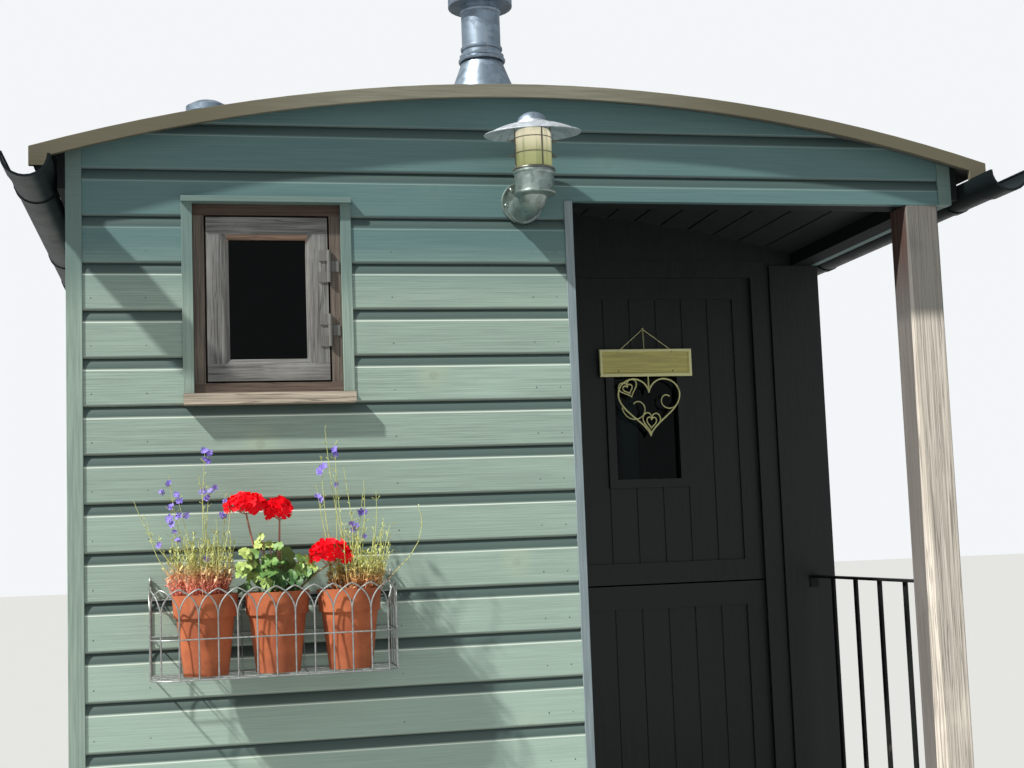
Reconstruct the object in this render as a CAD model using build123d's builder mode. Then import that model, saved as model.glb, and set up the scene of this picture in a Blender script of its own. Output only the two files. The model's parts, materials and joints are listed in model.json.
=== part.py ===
from build123d import *
from math import asin, atan2, cos, degrees, radians, sin, sqrt
import os

# Shepherd hut: a timber cabin with a curved roof and an open corner porch,
# on a steel chassis with a fixed axle, a turntable axle and a drawbar.
# All sizes are in millimetres. +Z is up, +X is the right of the porch end,
# and the porch end faces -Y. The origin is on the ground, under the middle.

os.makedirs("parts", exist_ok=True)

# Main sizes of the hut
body_width = 2450.0
body_length = 4880.0
floor_top = 660.0
floor_depth = 70.0
deck_thick = 22.0
wall_thick = 70.0
board_cover = 122.0
board_depth = 24.0
cove_height = 30.0
cove_depth = 10.0
board_chamfer = 3.0
board_chamfer_height = 6.0
trim_proud = 4.0
trim_width = 40.0
top_line = 2750.0
skirt_drop = 106.0

# Flue, its cone and the small vent on the roof
flue_x = -56.0
flue_y_from_front = 400.0
flue_radius = 58.0
flue_wall = 3.0
cone_base = 145.0
cone_top = 3188.0
cowl_radius = 96.0
cowl_z = 3362.0
vent_x = -867.0
vent_y_from_front = 150.0
vent_radius = 57.0
vent_height = 80.0
vent_cap_height = 34.0

# Stove on the floor below the flue
stove_width = 300.0
stove_depth = 320.0
stove_height = 480.0
stove_leg = 60.0

# Gutters
gutter_radius = 56.0
gutter_x = 1304.0
gutter_lip = top_line - 12.0
gutter_wall = 3.0
gutter_bead = 4.2
gutter_facets = 12
gutter_ahead = 190.0
gutter_brackets = 6
union_length = 110.0
union_thick = 3.5
union_spacing = 1700.0
fascia_thick = 19.0
fascia_bottom = top_line - 55.0

# Butt hinges of the door leaves and the sashes
knuckle_radius = 5.5
knuckle_length = 28.0
hinge_plate = 3.0
hinge_plate_wide = 26.0
knuckle_seat = 0.5
knuckle_sides = 12

# Railing on the open side of the porch
railing_x = 1143.0
railing_top = 1610.0
railing_foot = 760.0
bar_wide = 30.0
bar_thick = 8.0
baluster_wide = 20.0
baluster_pitch = 170.0
baluster_count = 4

# Wall lantern over the porch corner
lamp_x = -42.0
lamp_reach = 160.0
lamp_cup_bottom = 2657.0
lamp_cup_height = 61.0
lamp_jar_height = 102.0
lamp_crown = 55.0
lamp_plate_radius = 56.0
lamp_plate_thick = 14.0
lamp_elbow_radius = 40.0
lamp_cup_radius = 54.0
lamp_shade_radius = 128.0
lamp_dome_radius = 41.0
lamp_glass_radius = 46.0
lamp_cage_radius = 56.0

# Wire basket and flower pots on the front wall
basket_left = -1029.0
basket_width = 603.0
basket_depth = 190.0
basket_top = 1690.0
basket_bottom = 1466.0
basket_corner = 70.0
wire = 5.0
basket_gap = 0.3
floor_wires = 5
pot_centres = (-894.0, -720.0, -542.0)
pot_rim_radius = 80.0
pot_foot_radius = 54.0
pot_height = 195.0
pot_rim_band = 55.0
pot_soil_depth = 22.0

# Roof
roof_radius = 4500.0
roof_top = 2981.0
roof_sheet = 18.0
roof_deck_depth = 92.0
roof_overhang = 60.0
roof_half_width = 1308.0
end_trim_height = 36.0
end_trim_thick = 12.0
end_trim_proud = 3.0
end_drop_width = 52.0
end_drop_gap = 2.0
header_bottom = top_line - 70.0

# Porch in the front right corner
porch_left = 98.0
porch_depth = 950.0
porch_trim_width = 23.0
post_size = 100.0
post_chamfer = 4.0
post_wane = 26.0
post_wane_ratio = 1.4
post_x = 1132.0
corner_board_thick = 14.0

# Windows: the frame's centre along its wall, its top, width and height
window_member = 29.0
window_set_back = 10.0
sash_set_back = 10.0
sash_thick = 40.0
sash_stile = 57.0
stop_lap = 12.0
glass_thick = 4.0
glass_lap = 5.0
sash_gap = 5.0
window_trim = 28.0
drip_height = 15.0
drip_reach = 22.0
sill_reach = 36.0
sill_height = 28.0
sash_bevel = 4.0
sash_bead = 18.0
sash_bead_depth = 10.0
front_window = dict(centre=-722.0, top=top_line - 87.0, width=380.0, height=496.0)
side_window = dict(centre=600.0, top=top_line - 230.0, width=680.0, height=760.0)

# Door in the back wall of the porch
door_left = 195.0
door_width = 780.0
door_top = top_line - 111.0
door_split = 1602.0
leaf_lap = 10.0
leaf_thick = 44.0
leaf_gap = 7.0
leaf_split_gap = 5.0
jamb_width = 66.0
head_height = 56.0
lip_thick = 12.0
threshold_height = 30.0
stile_width = 65.0
rail_high = 72.0
panel_recess = 7.0
groove_pitch = 93.0
groove_width = 6.0
light_width = 223.0
light_height = 363.0
light_bottom = 1954.0
light_bead = 28.0
lip_reach = 3.0
leaf_set_back = 15.0
groove_count = 6
groove_depth = 4.0
ceiling_thick = 12.0
ceiling_boards = 11
rebate_play = 0.5

# Working values that follow from the sizes above
half_width = body_width / 2
side_face = half_width - trim_proud
side_core = side_face - board_depth
side_inner = side_core - wall_thick
roof_centre = roof_top - roof_radius
deck_outer = roof_radius - roof_sheet
deck_inner = deck_outer - roof_deck_depth
board_bottom = floor_top - skirt_drop
floor_bottom = floor_top - floor_depth
seat_gap = 0.3

# Chassis and running gear
chassis_inset = 30.0
cross_spread = 190.0
cross_width = 60.0
web_thick = 8.0
ring_plate_thick = 12.0
jack_pad_length = 140.0
jack_pad_thick = 8.0
jack_pad_inset = 300.0
rail_height = 100.0
rail_width = 60.0
rail_half_gap = 670.0
rail_top = floor_bottom
rail_bottom = rail_top - rail_height
fixed_wheel_radius = 280.0
steer_wheel_radius = 230.0
wheel_rim_width = 90.0
wheel_centre_x = 930.0
fixed_axle_inset = 900.0
steer_axle_inset = 560.0
axle_beam = 80.0
stub_radius = 22.0
ring_radius = 330.0
ring_width = 60.0
ring_thick = 18.0
ring_sides = 40
king_pin_radius = 20.0
drawbar_reach = 1150.0
drawbar_thick = 50.0
drawbar_hinge_z = 230.0
hinge_ahead = 260.0
eye_outer = 55.0
eye_bore = 26.0
eye_thick = 28.0
eye_neck = 50.0
ground_gap = 2.0

# Steps up to the porch
step_count = 3
step_going = 220.0
step_width = 800.0
step_thick = 30.0
string_thick = 38.0
step_left = 140.0

# Length of the whole hut from the foot of the steps to the drawbar eye
drawbar_slope = asin((drawbar_hinge_z - eye_thick / 2 - ground_gap) / (drawbar_reach + eye_outer))
drawbar_flat = (drawbar_reach + eye_outer) * cos(drawbar_slope) + eye_thick / 2 * sin(drawbar_slope)
steps_reach = step_count * step_going + trim_proud
tail_reach = hinge_ahead + drawbar_flat - steer_axle_inset
overall_length = steps_reach + body_length + tail_reach
front_face = -overall_length / 2 + steps_reach
rear_face = front_face + body_length
front_core = front_face + board_depth
rear_core = rear_face - board_depth
front_inner = front_core + wall_thick
rear_inner = rear_core - wall_thick
porch_back = front_face + porch_depth
porch_back_inner = porch_back + wall_thick
fixed_axle_y = front_face + fixed_axle_inset
steer_axle_y = rear_face - steer_axle_inset


def save(part, label):
    part.label = label
    export_step(part, f"parts/{label}.step")


def arc_block(x0, x1, y0, y1, z0, radius):
    """A block with its top cut to the roof's curve."""
    with BuildPart() as block:
        with BuildSketch(Plane.XZ.offset(-y1)):
            with Locations((0, roof_centre)):
                Circle(radius)
            with Locations(((x0 + x1) / 2, (z0 + roof_top) / 2)):
                Rectangle(x1 - x0, roof_top - z0, mode=Mode.INTERSECT)
        extrude(amount=y1 - y0)
    return block.part


def arc_band(y0, y1, outer, inner, half):
    """A slab bent to the roof's curve."""
    with BuildPart() as band:
        with BuildSketch(Plane.XZ.offset(-y1)):
            with Locations((0, roof_centre)):
                Circle(outer)
                Circle(inner, mode=Mode.SUBTRACT)
            with Locations((0, roof_top)):
                Rectangle(2 * half, 2 * roof_radius * 0.2, mode=Mode.INTERSECT)
        extrude(amount=y1 - y0)
    return band.part


def turned(x, y, rings, sides):
    """A solid of flat facets round an upright line, from its rings (radius, height) from the foot up."""
    turns = [radians(360 * step / sides) for step in range(sides)]
    corners = [[(x + radius * cos(turn), y + radius * sin(turn), z) for turn in turns] for radius, z in rings]
    faces = [Face(Wire.make_polygon(corners[0])), Face(Wire.make_polygon(corners[-1]))]
    for low, high in zip(corners, corners[1:]):
        for step in range(sides):
            before = step - 1
            faces.append(Face(Wire.make_polygon([low[before], low[step], high[step], high[before]])))
    return Solid(Shell(faces))


def half_round(middle, outer, inner, height):
    """Section of a half-round trough, open at the top, in facets."""
    turns = [radians(180 + 180 * step / gutter_facets) for step in range(gutter_facets + 1)]
    outside = [(middle + outer * cos(turn), height + outer * sin(turn)) for turn in turns]
    inside = [(middle + inner * cos(turn), height + inner * sin(turn)) for turn in reversed(turns)]
    with BuildSketch() as section:
        with BuildLine():
            Polyline(*outside, *inside, close=True)
        make_face()
    return section.sketch


# Chassis: two long rails, cross members and the turntable's upper ring
cross_members = [
    ("front", front_face + 2 * chassis_inset),
    ("fixed axle front", fixed_axle_y - cross_spread),
    ("fixed axle rear", fixed_axle_y + cross_spread),
    ("middle", (fixed_axle_y + steer_axle_y) / 2),
    ("turntable front", steer_axle_y - cross_spread),
    ("turntable rear", steer_axle_y + cross_spread),
    ("rear", rear_face - 2 * chassis_inset),
]
lower_ring_top = rail_bottom - ring_plate_thick - ring_thick - seat_gap
with BuildPart() as chassis:
    for side in (-1, 1):
        with BuildSketch(Plane.XZ.offset(-(rear_face - chassis_inset))):
            rail_middle = rail_half_gap + rail_width / 2
            with Locations((side * rail_middle, (rail_top + rail_bottom) / 2)):
                Rectangle(rail_width, rail_height)
            with Locations((side * (rail_middle - web_thick), (rail_top + rail_bottom) / 2)):
                Rectangle(rail_width, rail_height - 2 * web_thick, mode=Mode.SUBTRACT)
        extrude(amount=body_length - 2 * chassis_inset)
    for _, cross_y in cross_members:
        with BuildSketch(Plane.XY.offset(rail_bottom)):
            with Locations((0, cross_y)):
                Rectangle(2 * rail_half_gap + 2 * web_thick, cross_width)
        extrude(amount=rail_height)
    with BuildSketch(Plane.XY.offset(rail_bottom - ring_plate_thick)):
        with Locations((0, steer_axle_y)):
            Rectangle(2 * ring_radius + cross_width, 2 * ring_radius)
            Circle(king_pin_radius + seat_gap, mode=Mode.SUBTRACT)
    extrude(amount=ring_plate_thick)
    with BuildSketch(Plane.XY.offset(rail_bottom - jack_pad_thick)):
        for pad_y in (front_face + jack_pad_inset, rear_face - jack_pad_inset / 2):
            with Locations((0, pad_y)):
                with GridLocations(2 * rail_half_gap + rail_width, 0, 2, 1):
                    Rectangle(rail_width, jack_pad_length)
    extrude(amount=jack_pad_thick)
    with BuildSketch(Plane.XY.offset(rail_bottom - ring_plate_thick - ring_thick)):
        with Locations((0, steer_axle_y)):
            RegularPolygon(ring_radius, ring_sides)
            RegularPolygon(ring_radius - ring_width, ring_sides, mode=Mode.SUBTRACT)
    extrude(amount=ring_thick)
save(chassis.part, "chassis_frame")

# Fixed axle under the porch end, on two pedestals
pedestal_half = 150.0
beam_lap = 5.0
stub_end = wheel_centre_x + wheel_rim_width / 2 + 38.0
hub_half = 60.0
hub_radius = 55.0
collar_half = wheel_centre_x - hub_half - 1.0


def axle_with_stubs(axle_y, axle_z):
    """A square axle beam with a round stub for the wheel at each end."""
    with BuildPart() as axle:
        with BuildSketch(Plane.YZ.offset(-collar_half)):
            with Locations((axle_y, axle_z)):
                Rectangle(axle_beam, axle_beam)
        extrude(amount=2 * collar_half)
        with BuildSketch(Plane.YZ.offset(-stub_end)):
            with Locations((axle_y, axle_z)):
                Circle(stub_radius)
        extrude(amount=2 * stub_end)
    return axle.part


with BuildPart() as fixed_axle:
    add(axle_with_stubs(fixed_axle_y, fixed_wheel_radius))
    for side in (-1, 1):
        with BuildSketch(Plane.YZ.offset(side * (rail_half_gap + rail_width / 2) - rail_width / 2)):
            with BuildLine():
                Polyline(
                    (fixed_axle_y - pedestal_half, rail_bottom),
                    (fixed_axle_y + pedestal_half, rail_bottom),
                    (fixed_axle_y + axle_beam / 2, fixed_wheel_radius + axle_beam / 2 - beam_lap),
                    (fixed_axle_y - axle_beam / 2, fixed_wheel_radius + axle_beam / 2 - beam_lap),
                    close=True,
                )
            make_face()
        extrude(amount=rail_width)
save(fixed_axle.part, "fixed_axle")

# Turning axle: beam, bolster, lower ring, king pin and hounds for the drawbar
hound_x = 230.0
hound_width = 40.0
hound_root = 30.0
lug_half = 40.0
lug_hole = 14.0
bolster_width = 120.0
king_pin_rise = 20.0
with BuildPart() as fore_carriage:
    add(axle_with_stubs(steer_axle_y, steer_wheel_radius))
    with BuildSketch(Plane.XY.offset(steer_wheel_radius + axle_beam / 2 - beam_lap)):
        with Locations((0, steer_axle_y)):
            Rectangle(2 * ring_radius - ring_width, bolster_width)
    extrude(amount=lower_ring_top - ring_thick - steer_wheel_radius - axle_beam / 2 + 2 * beam_lap)
    with BuildSketch(Plane.XY.offset(lower_ring_top - ring_thick)):
        with Locations((0, steer_axle_y)):
            RegularPolygon(ring_radius, ring_sides)
            RegularPolygon(ring_radius - ring_width, ring_sides, mode=Mode.SUBTRACT)
            Rectangle(2 * ring_radius - ring_width, bolster_width)
            Rectangle(bolster_width, 2 * ring_radius - ring_width)
    extrude(amount=ring_thick)
    with BuildSketch(Plane.XY.offset(lower_ring_top - ring_thick)):
        with Locations((0, steer_axle_y)):
            Circle(king_pin_radius)
    extrude(amount=rail_bottom + king_pin_rise - lower_ring_top + ring_thick)
    for side in (-1, 1):
        with BuildSketch(Plane.YZ.offset(side * hound_x - hound_width / 2)):
            with BuildLine():
                Polyline(
                    (steer_axle_y + axle_beam / 2 - beam_lap, steer_wheel_radius - hound_root),
                    (steer_axle_y + hinge_ahead + lug_half, drawbar_hinge_z - lug_half),
                    (steer_axle_y + hinge_ahead + lug_half, drawbar_hinge_z + lug_half),
                    (steer_axle_y + axle_beam / 2 - beam_lap, steer_wheel_radius + hound_root),
                    close=True,
                )
            make_face()
            with Locations((steer_axle_y + hinge_ahead, drawbar_hinge_z)):
                Circle(lug_hole, mode=Mode.SUBTRACT)
        extrude(amount=hound_width)
save(fore_carriage.part, "fore_carriage")

# Drawbar: two arms from the hinge to the eye, drawn in the drawbar's own plane
pin_gap = 0.5
boss_length = 40.0
boss_gap = 2.0
boss_x = hound_x + hound_width / 2 + boss_length / 2 + boss_gap
boss_radius = 26.0
arm_width = 50.0
arm_straight = 90.0
arm_crotch = 150.0
arm_nose_ratio = 0.8
brace_at = 420.0
brace_width = 340.0
brace_depth = 45.0
pin_reach = 10.0
eye_lap = 8.0
draw_plane = Plane(
    origin=(0, steer_axle_y + hinge_ahead, drawbar_hinge_z),
    x_dir=(1, 0, 0),
    z_dir=(0, sin(drawbar_slope), cos(drawbar_slope)),
)
nose_length = 140.0
arm_end = drawbar_reach - nose_length
nose_end = drawbar_reach - eye_bore - 2 * eye_lap
nose_start = arm_end - eye_lap
with BuildPart() as drawbar:
    with BuildSketch(draw_plane.offset(-drawbar_thick / 2)):
        for side in (-1, 1):
            with BuildLine():
                Polyline(
                    (side * (boss_x - boss_length / 2), 0),
                    (side * (boss_x + boss_length / 2), 0),
                    (side * (boss_x + boss_length / 2), arm_straight),
                    (side * arm_width * arm_nose_ratio, arm_end),
                    (0, arm_end),
                    (0, arm_end - arm_crotch),
                    (side * (boss_x - boss_length / 2), arm_straight),
                    close=True,
                )
            make_face()
        with Locations((0, brace_at)):
            Rectangle(brace_width, brace_depth)
        with Locations((0, (nose_start + nose_end) / 2)):
            Rectangle(arm_width, nose_end - nose_start)
    extrude(amount=drawbar_thick)
    for side in (-1, 1):
        with BuildSketch(Plane.YZ.offset(side * boss_x - boss_length / 2)):
            with Locations((steer_axle_y + hinge_ahead, drawbar_hinge_z)):
                Circle(boss_radius)
        extrude(amount=boss_length)
        pin_start = side * (hound_x - hound_width / 2 - pin_reach)
        with BuildSketch(Plane.YZ.offset(pin_start)):
            with Locations((steer_axle_y + hinge_ahead, drawbar_hinge_z)):
                Circle(lug_hole - pin_gap)
        extrude(amount=side * (boss_x - hound_x + hound_width / 2 + pin_reach))
    with BuildSketch(draw_plane.offset(-eye_thick / 2)):
        with Locations((0, drawbar_reach)):
            Circle(eye_outer)
        with Locations((0, drawbar_reach - eye_outer)):
            Rectangle(eye_neck, 2 * eye_neck)
        with Locations((0, drawbar_reach)):
            Circle(eye_bore, mode=Mode.SUBTRACT)
    extrude(amount=eye_thick)
save(drawbar.part, "drawbar")

# Spoked iron wheels: a ring rim, tapered spokes and a hub that turns on the stub
rim_thick = 16.0
spoke_count = 10
spoke_thick = 14.0
spoke_root = 46.0
spoke_tip = 30.0
spoke_sink = 5.0
bore_gap = 0.5
rim_sides = 40
hub_sides = 20
wheels = [
    ("wheel_fixed_left", -1, fixed_axle_y, fixed_wheel_radius),
    ("wheel_fixed_right", 1, fixed_axle_y, fixed_wheel_radius),
    ("wheel_steer_left", -1, steer_axle_y, steer_wheel_radius),
    ("wheel_steer_right", 1, steer_axle_y, steer_wheel_radius),
]
for name, side, axle_y, radius in wheels:
    middle = side * wheel_centre_x
    with BuildPart() as wheel:
        with BuildSketch(Plane.YZ.offset(middle - wheel_rim_width / 2)):
            with Locations((axle_y, radius)):
                RegularPolygon(radius, rim_sides)
                RegularPolygon(radius - rim_thick, rim_sides, mode=Mode.SUBTRACT)
        extrude(amount=wheel_rim_width)
        spoke_start = (middle - spoke_thick / 2, axle_y, radius)
        with BuildSketch(Plane(origin=spoke_start, x_dir=(0, 1, 0), z_dir=(1, 0, 0))):
            reach = radius - rim_thick + spoke_sink - hub_radius + spoke_sink
            slope = degrees(atan2(reach, (spoke_root - spoke_tip) / 2))
            with PolarLocations(hub_radius - spoke_sink + reach / 2, spoke_count):
                Trapezoid(spoke_root, reach, slope, rotation=-90)
        extrude(amount=spoke_thick)
        with BuildSketch(Plane.YZ.offset(middle - hub_half)):
            with Locations((axle_y, radius)):
                RegularPolygon(hub_radius, hub_sides)
        extrude(amount=2 * hub_half)
        with BuildSketch(Plane.YZ.offset(middle - hub_half - 1.0)):
            with Locations((axle_y, radius)):
                Circle(stub_radius + bore_gap)
        extrude(amount=2 * hub_half + 2.0, mode=Mode.SUBTRACT)
    save(wheel.part, name)

# Floor of the cabin, lower by the deck boards in the porch corner
with BuildPart() as floor:
    with BuildSketch(Plane.XY.offset(floor_bottom)):
        with Locations((0, (front_core + rear_core) / 2)):
            Rectangle(2 * side_core, rear_core - front_core)
    extrude(amount=floor_depth)
    with BuildSketch(Plane.XY.offset(floor_top - deck_thick)):
        with Locations(((porch_left + side_core) / 2, (front_core + porch_back) / 2)):
            Rectangle(side_core - porch_left, porch_back - front_core)
    extrude(amount=deck_thick, mode=Mode.SUBTRACT)
save(floor.part, "floor")

# Deck boards of the porch, laid across it with open gaps
deck_board_count = 8
deck_gap = 5.0
deck_span = porch_back - front_face - 1.0
deck_board = (deck_span - deck_gap * (deck_board_count - 1)) / deck_board_count
with BuildPart() as porch_deck:
    with BuildSketch(Plane.XY.offset(floor_top - deck_thick)):
        with Locations(((porch_left + 1.0 + side_core) / 2, front_face + deck_span / 2)):
            with GridLocations(0, deck_board + deck_gap, 1, deck_board_count):
                Rectangle(side_core - porch_left - 1.0, deck_board)
    extrude(amount=deck_thick)
save(porch_deck.part, "porch_deck")

# Walls. Each block runs up to the underside of the roof deck
wall_top_radius = deck_inner
with BuildPart() as front_wall:
    wall_end = porch_left - wall_thick
    add(arc_block(-side_core, wall_end, front_core, front_inner, floor_top, wall_top_radius))
    with BuildSketch(Plane.XZ.offset(-front_inner)):
        with Locations((front_window["centre"], front_window["top"] - front_window["height"] / 2)):
            Rectangle(front_window["width"], front_window["height"])
    extrude(amount=wall_thick, mode=Mode.SUBTRACT)
save(front_wall.part, "front_wall")

for side, name in ((-1, "left_wall"), (1, "right_wall")):
    near = front_inner if side < 0 else porch_back_inner
    inner, outer = sorted((side * side_inner, side * side_core))
    with BuildPart() as side_wall:
        add(arc_block(inner, outer, near, rear_inner, floor_top, wall_top_radius))
        with BuildSketch(Plane.YZ.offset(inner)):
            with Locations((side_window["centre"], side_window["top"] - side_window["height"] / 2)):
                Rectangle(side_window["width"], side_window["height"])
        extrude(amount=wall_thick, mode=Mode.SUBTRACT)
    save(side_wall.part, name)

rear_wall = arc_block(-side_core, side_core, rear_inner, rear_core, floor_top, wall_top_radius)
save(rear_wall, "rear_wall")

porch_side_wall = arc_block(
    porch_left - wall_thick, porch_left, front_core, porch_back_inner, floor_top, wall_top_radius
)
save(porch_side_wall, "porch_side_wall")

frame_right = door_left + door_width + jamb_width
frame_left = door_left - jamb_width
frame_top = door_top + head_height
with BuildPart() as porch_back_wall:
    add(arc_block(porch_left, side_core, porch_back, porch_back_inner, floor_top, wall_top_radius))
    with BuildSketch(Plane.XZ.offset(-porch_back_inner)):
        with Locations(((frame_left + frame_right) / 2, (floor_top + frame_top) / 2)):
            Rectangle(frame_right - frame_left, frame_top - floor_top)
    extrude(amount=wall_thick, mode=Mode.SUBTRACT)
save(porch_back_wall.part, "porch_back_wall")

# Grooved boards that line the porch's ceiling
with BuildPart() as porch_ceiling:
    ceiling_top = deck_inner + ceiling_thick
    add(arc_band(front_inner + seat_gap, porch_back - seat_gap, ceiling_top, deck_inner, side_core))
    with BuildSketch(Plane.XY.offset(header_bottom)):
        with Locations(((porch_left + side_inner) / 2, (front_inner + porch_back) / 2)):
            Rectangle(side_inner - porch_left - 2 * seat_gap, porch_depth)
    extrude(amount=roof_top - header_bottom, mode=Mode.INTERSECT)
    with BuildSketch(Plane.XZ.offset(-porch_back)):
        for index in range(ceiling_boards - 1):
            groove_x = porch_left + (index + 1) * (side_inner - porch_left) / ceiling_boards
            groove_z = roof_centre + sqrt(deck_inner**2 - groove_x**2)
            with Locations((groove_x, groove_z)):
                Rectangle(groove_width, 2 * groove_depth)
    extrude(amount=porch_depth, mode=Mode.SUBTRACT)
save(porch_ceiling.part, "porch_ceiling")

# Beams over the open porch, and the oak post that carries their corner
header_beam = arc_block(porch_left, side_core, front_core, front_inner, header_bottom, wall_top_radius)
save(header_beam, "header_beam")
eaves_beam = arc_block(side_inner, side_core, front_inner, porch_back, header_bottom, wall_top_radius)
save(eaves_beam, "eaves_beam")

with BuildPart() as post:
    with BuildSketch(Plane.XY.offset(floor_top)):
        with Locations((post_x, front_face + post_size / 2)):
            Rectangle(post_size, post_size)
    extrude(amount=header_bottom - floor_top)
    chamfer(post.edges().filter_by(Axis.Z), post_chamfer)
    for wane_z, reach in ((floor_top, post_wane), (header_bottom, post_chamfer)):
        with BuildSketch(Plane.XY.offset(wane_z)):
            corner = (post_x - post_size / 2, front_face)
            with BuildLine():
                Polyline(
                    (corner[0] - 1.0, corner[1] - 1.0),
                    (corner[0] + reach + 1.0, corner[1] - 1.0),
                    (corner[0] - 1.0, corner[1] + reach * post_wane_ratio + 1.0),
                    close=True,
                )
            make_face()
    loft(mode=Mode.SUBTRACT)
save(post.part, "porch_post")

# Shiplap boards outside the walls. Each row has a flat face with a chamfered lower edge and a
# hollow cove at its top, and all rows follow the same lines round the hut
row_count = int((top_line - board_bottom) / board_cover + 0.5) + 2
cove_radius = (cove_depth**2 + cove_height**2) / (2 * cove_depth)


def board_stack(plane, length):
    """Rows along a wall. The plane looks along the wall, with its x axis outwards."""
    hollow = board_depth - cove_depth
    with BuildPart() as stack:
        with BuildSketch(plane):
            with BuildLine():
                Line((0, row_count * board_cover), (0, 0))
                Line((0, 0), (board_depth - board_chamfer, 0))
                for row in range(row_count):
                    foot = row * board_cover
                    head = foot + board_cover
                    face_foot = foot + board_chamfer_height
                    face_head = head - cove_height
                    Line((board_depth - board_chamfer, foot), (board_depth, face_foot))
                    Line((board_depth, face_foot), (board_depth, face_head))
                    RadiusArc((board_depth, face_head), (hollow, head), -cove_radius)
                    if row < row_count - 1:
                        Line((hollow, head), (board_depth - board_chamfer, head))
                Line((hollow, row_count * board_cover), (0, row_count * board_cover))
            make_face()
        extrude(amount=length)
    return stack.part


front_start = -side_face + trim_width - trim_proud
front_end = side_face - trim_width + trim_proud
board_roof = deck_outer - 1.0
with BuildPart() as front_boards:
    add(
        board_stack(
            Plane(origin=(front_end, front_core, board_bottom), x_dir=(0, -1, 0), z_dir=(-1, 0, 0)),
            front_end - front_start,
        )
    )
    front_block = arc_block(front_start, front_end, front_face, front_core, board_bottom, board_roof)
    add(front_block, mode=Mode.INTERSECT)
    with BuildSketch(Plane.XZ.offset(-front_core)):
        porch_start = porch_left - porch_trim_width
        with Locations(((porch_start + front_end) / 2, (board_bottom + header_bottom) / 2)):
            Rectangle(front_end - porch_start, header_bottom - board_bottom)
        opening_top = front_window["top"] + drip_height
        opening_bottom = front_window["top"] - front_window["height"] - sill_height
        with Locations((front_window["centre"], (opening_top + opening_bottom) / 2)):
            Rectangle(front_window["width"] + 2 * window_trim, opening_top - opening_bottom)
    extrude(amount=board_depth, mode=Mode.SUBTRACT)
save(front_boards.part, "front_boards")

rear_boards = board_stack(
    Plane(origin=(front_start, rear_core, board_bottom), x_dir=(0, 1, 0), z_dir=(1, 0, 0)),
    front_end - front_start,
)
with BuildPart() as rear_cladding:
    add(rear_boards)
    rear_block = arc_block(front_start, front_end, rear_core, rear_face, board_bottom, board_roof)
    add(rear_block, mode=Mode.INTERSECT)
save(rear_cladding.part, "rear_boards")

side_start = front_face + trim_width - trim_proud
side_end = rear_face - trim_width + trim_proud
for side, name in ((-1, "left_boards"), (1, "right_boards")):
    inner, outer = sorted((side * side_core, side * side_face))
    with BuildPart() as side_boards:
        add(
            board_stack(
                Plane(origin=(side * side_core, side_start if side < 0 else side_end, board_bottom),
                      x_dir=(side, 0, 0), z_dir=(0, -side, 0)),
                side_end - side_start,
            )
        )
        side_block = arc_block(inner, outer, side_start, side_end, board_bottom, board_roof)
        add(side_block, mode=Mode.INTERSECT)
        with BuildSketch(Plane.YZ.offset(inner)):
            opening_top = side_window["top"] + drip_height
            opening_bottom = side_window["top"] - side_window["height"] - sill_height
            with Locations((side_window["centre"], (opening_top + opening_bottom) / 2)):
                Rectangle(side_window["width"] + 2 * window_trim, opening_top - opening_bottom)
            if side > 0:
                porch_end = porch_back + trim_width
                with Locations(((side_start + porch_end) / 2, (board_bottom + header_bottom) / 2)):
                    Rectangle(porch_end - side_start, header_bottom - board_bottom)
        extrude(amount=board_depth, mode=Mode.SUBTRACT)
    save(side_boards.part, name)

# Green corner trims, window trims and the skirt below the deck
window_planes = {
    "front": (Plane(origin=(front_window["centre"], front_face, front_window["top"]),
                    x_dir=(1, 0, 0), z_dir=(0, -1, 0)), front_window),
    "left": (Plane(origin=(-side_face, side_window["centre"], side_window["top"]),
                   x_dir=(0, -1, 0), z_dir=(-1, 0, 0)), side_window),
    "right": (Plane(origin=(side_face, side_window["centre"], side_window["top"]),
                    x_dir=(0, 1, 0), z_dir=(1, 0, 0)), side_window),
}


def corner_trim(x_side, y_side, z0, wide):
    """An L-shaped trim on a corner of the hut, with its top cut to the roof."""
    x_outer = x_side * half_width
    y_outer = front_face - trim_proud if y_side < 0 else rear_face + trim_proud
    leg = board_depth + trim_proud
    with BuildPart() as trim:
        x0, x1 = sorted((x_outer, x_outer - x_side * wide))
        y0, y1 = sorted((y_outer, y_outer - y_side * wide))
        add(arc_block(x0, x1, y0, y1, z0, board_roof))
        core_x = x_outer - x_side * leg
        core_y = y_outer - y_side * leg
        with BuildSketch(Plane.XY.offset(z0)):
            with Locations((core_x - x_side * wide / 2, core_y - y_side * wide / 2)):
                Rectangle(wide, wide)
        extrude(amount=roof_top - z0, mode=Mode.SUBTRACT)
    return trim.part


def window_trims(plane, window):
    """Side trims and the drip cap round a window, on the face of the boards."""
    wide, high = window["width"], window["height"]
    with BuildPart() as trims:
        with BuildSketch(plane.offset(-board_depth)):
            for side in (-1, 1):
                with Locations((side * (wide + window_trim) / 2, -high / 2)):
                    Rectangle(window_trim, high)
        extrude(amount=board_depth + trim_proud)
        with BuildSketch(plane.offset(-board_depth)):
            with Locations((0, drip_height / 2)):
                Rectangle(wide + 2 * window_trim, drip_height)
        extrude(amount=board_depth + drip_reach)
    return trims.part


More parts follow.
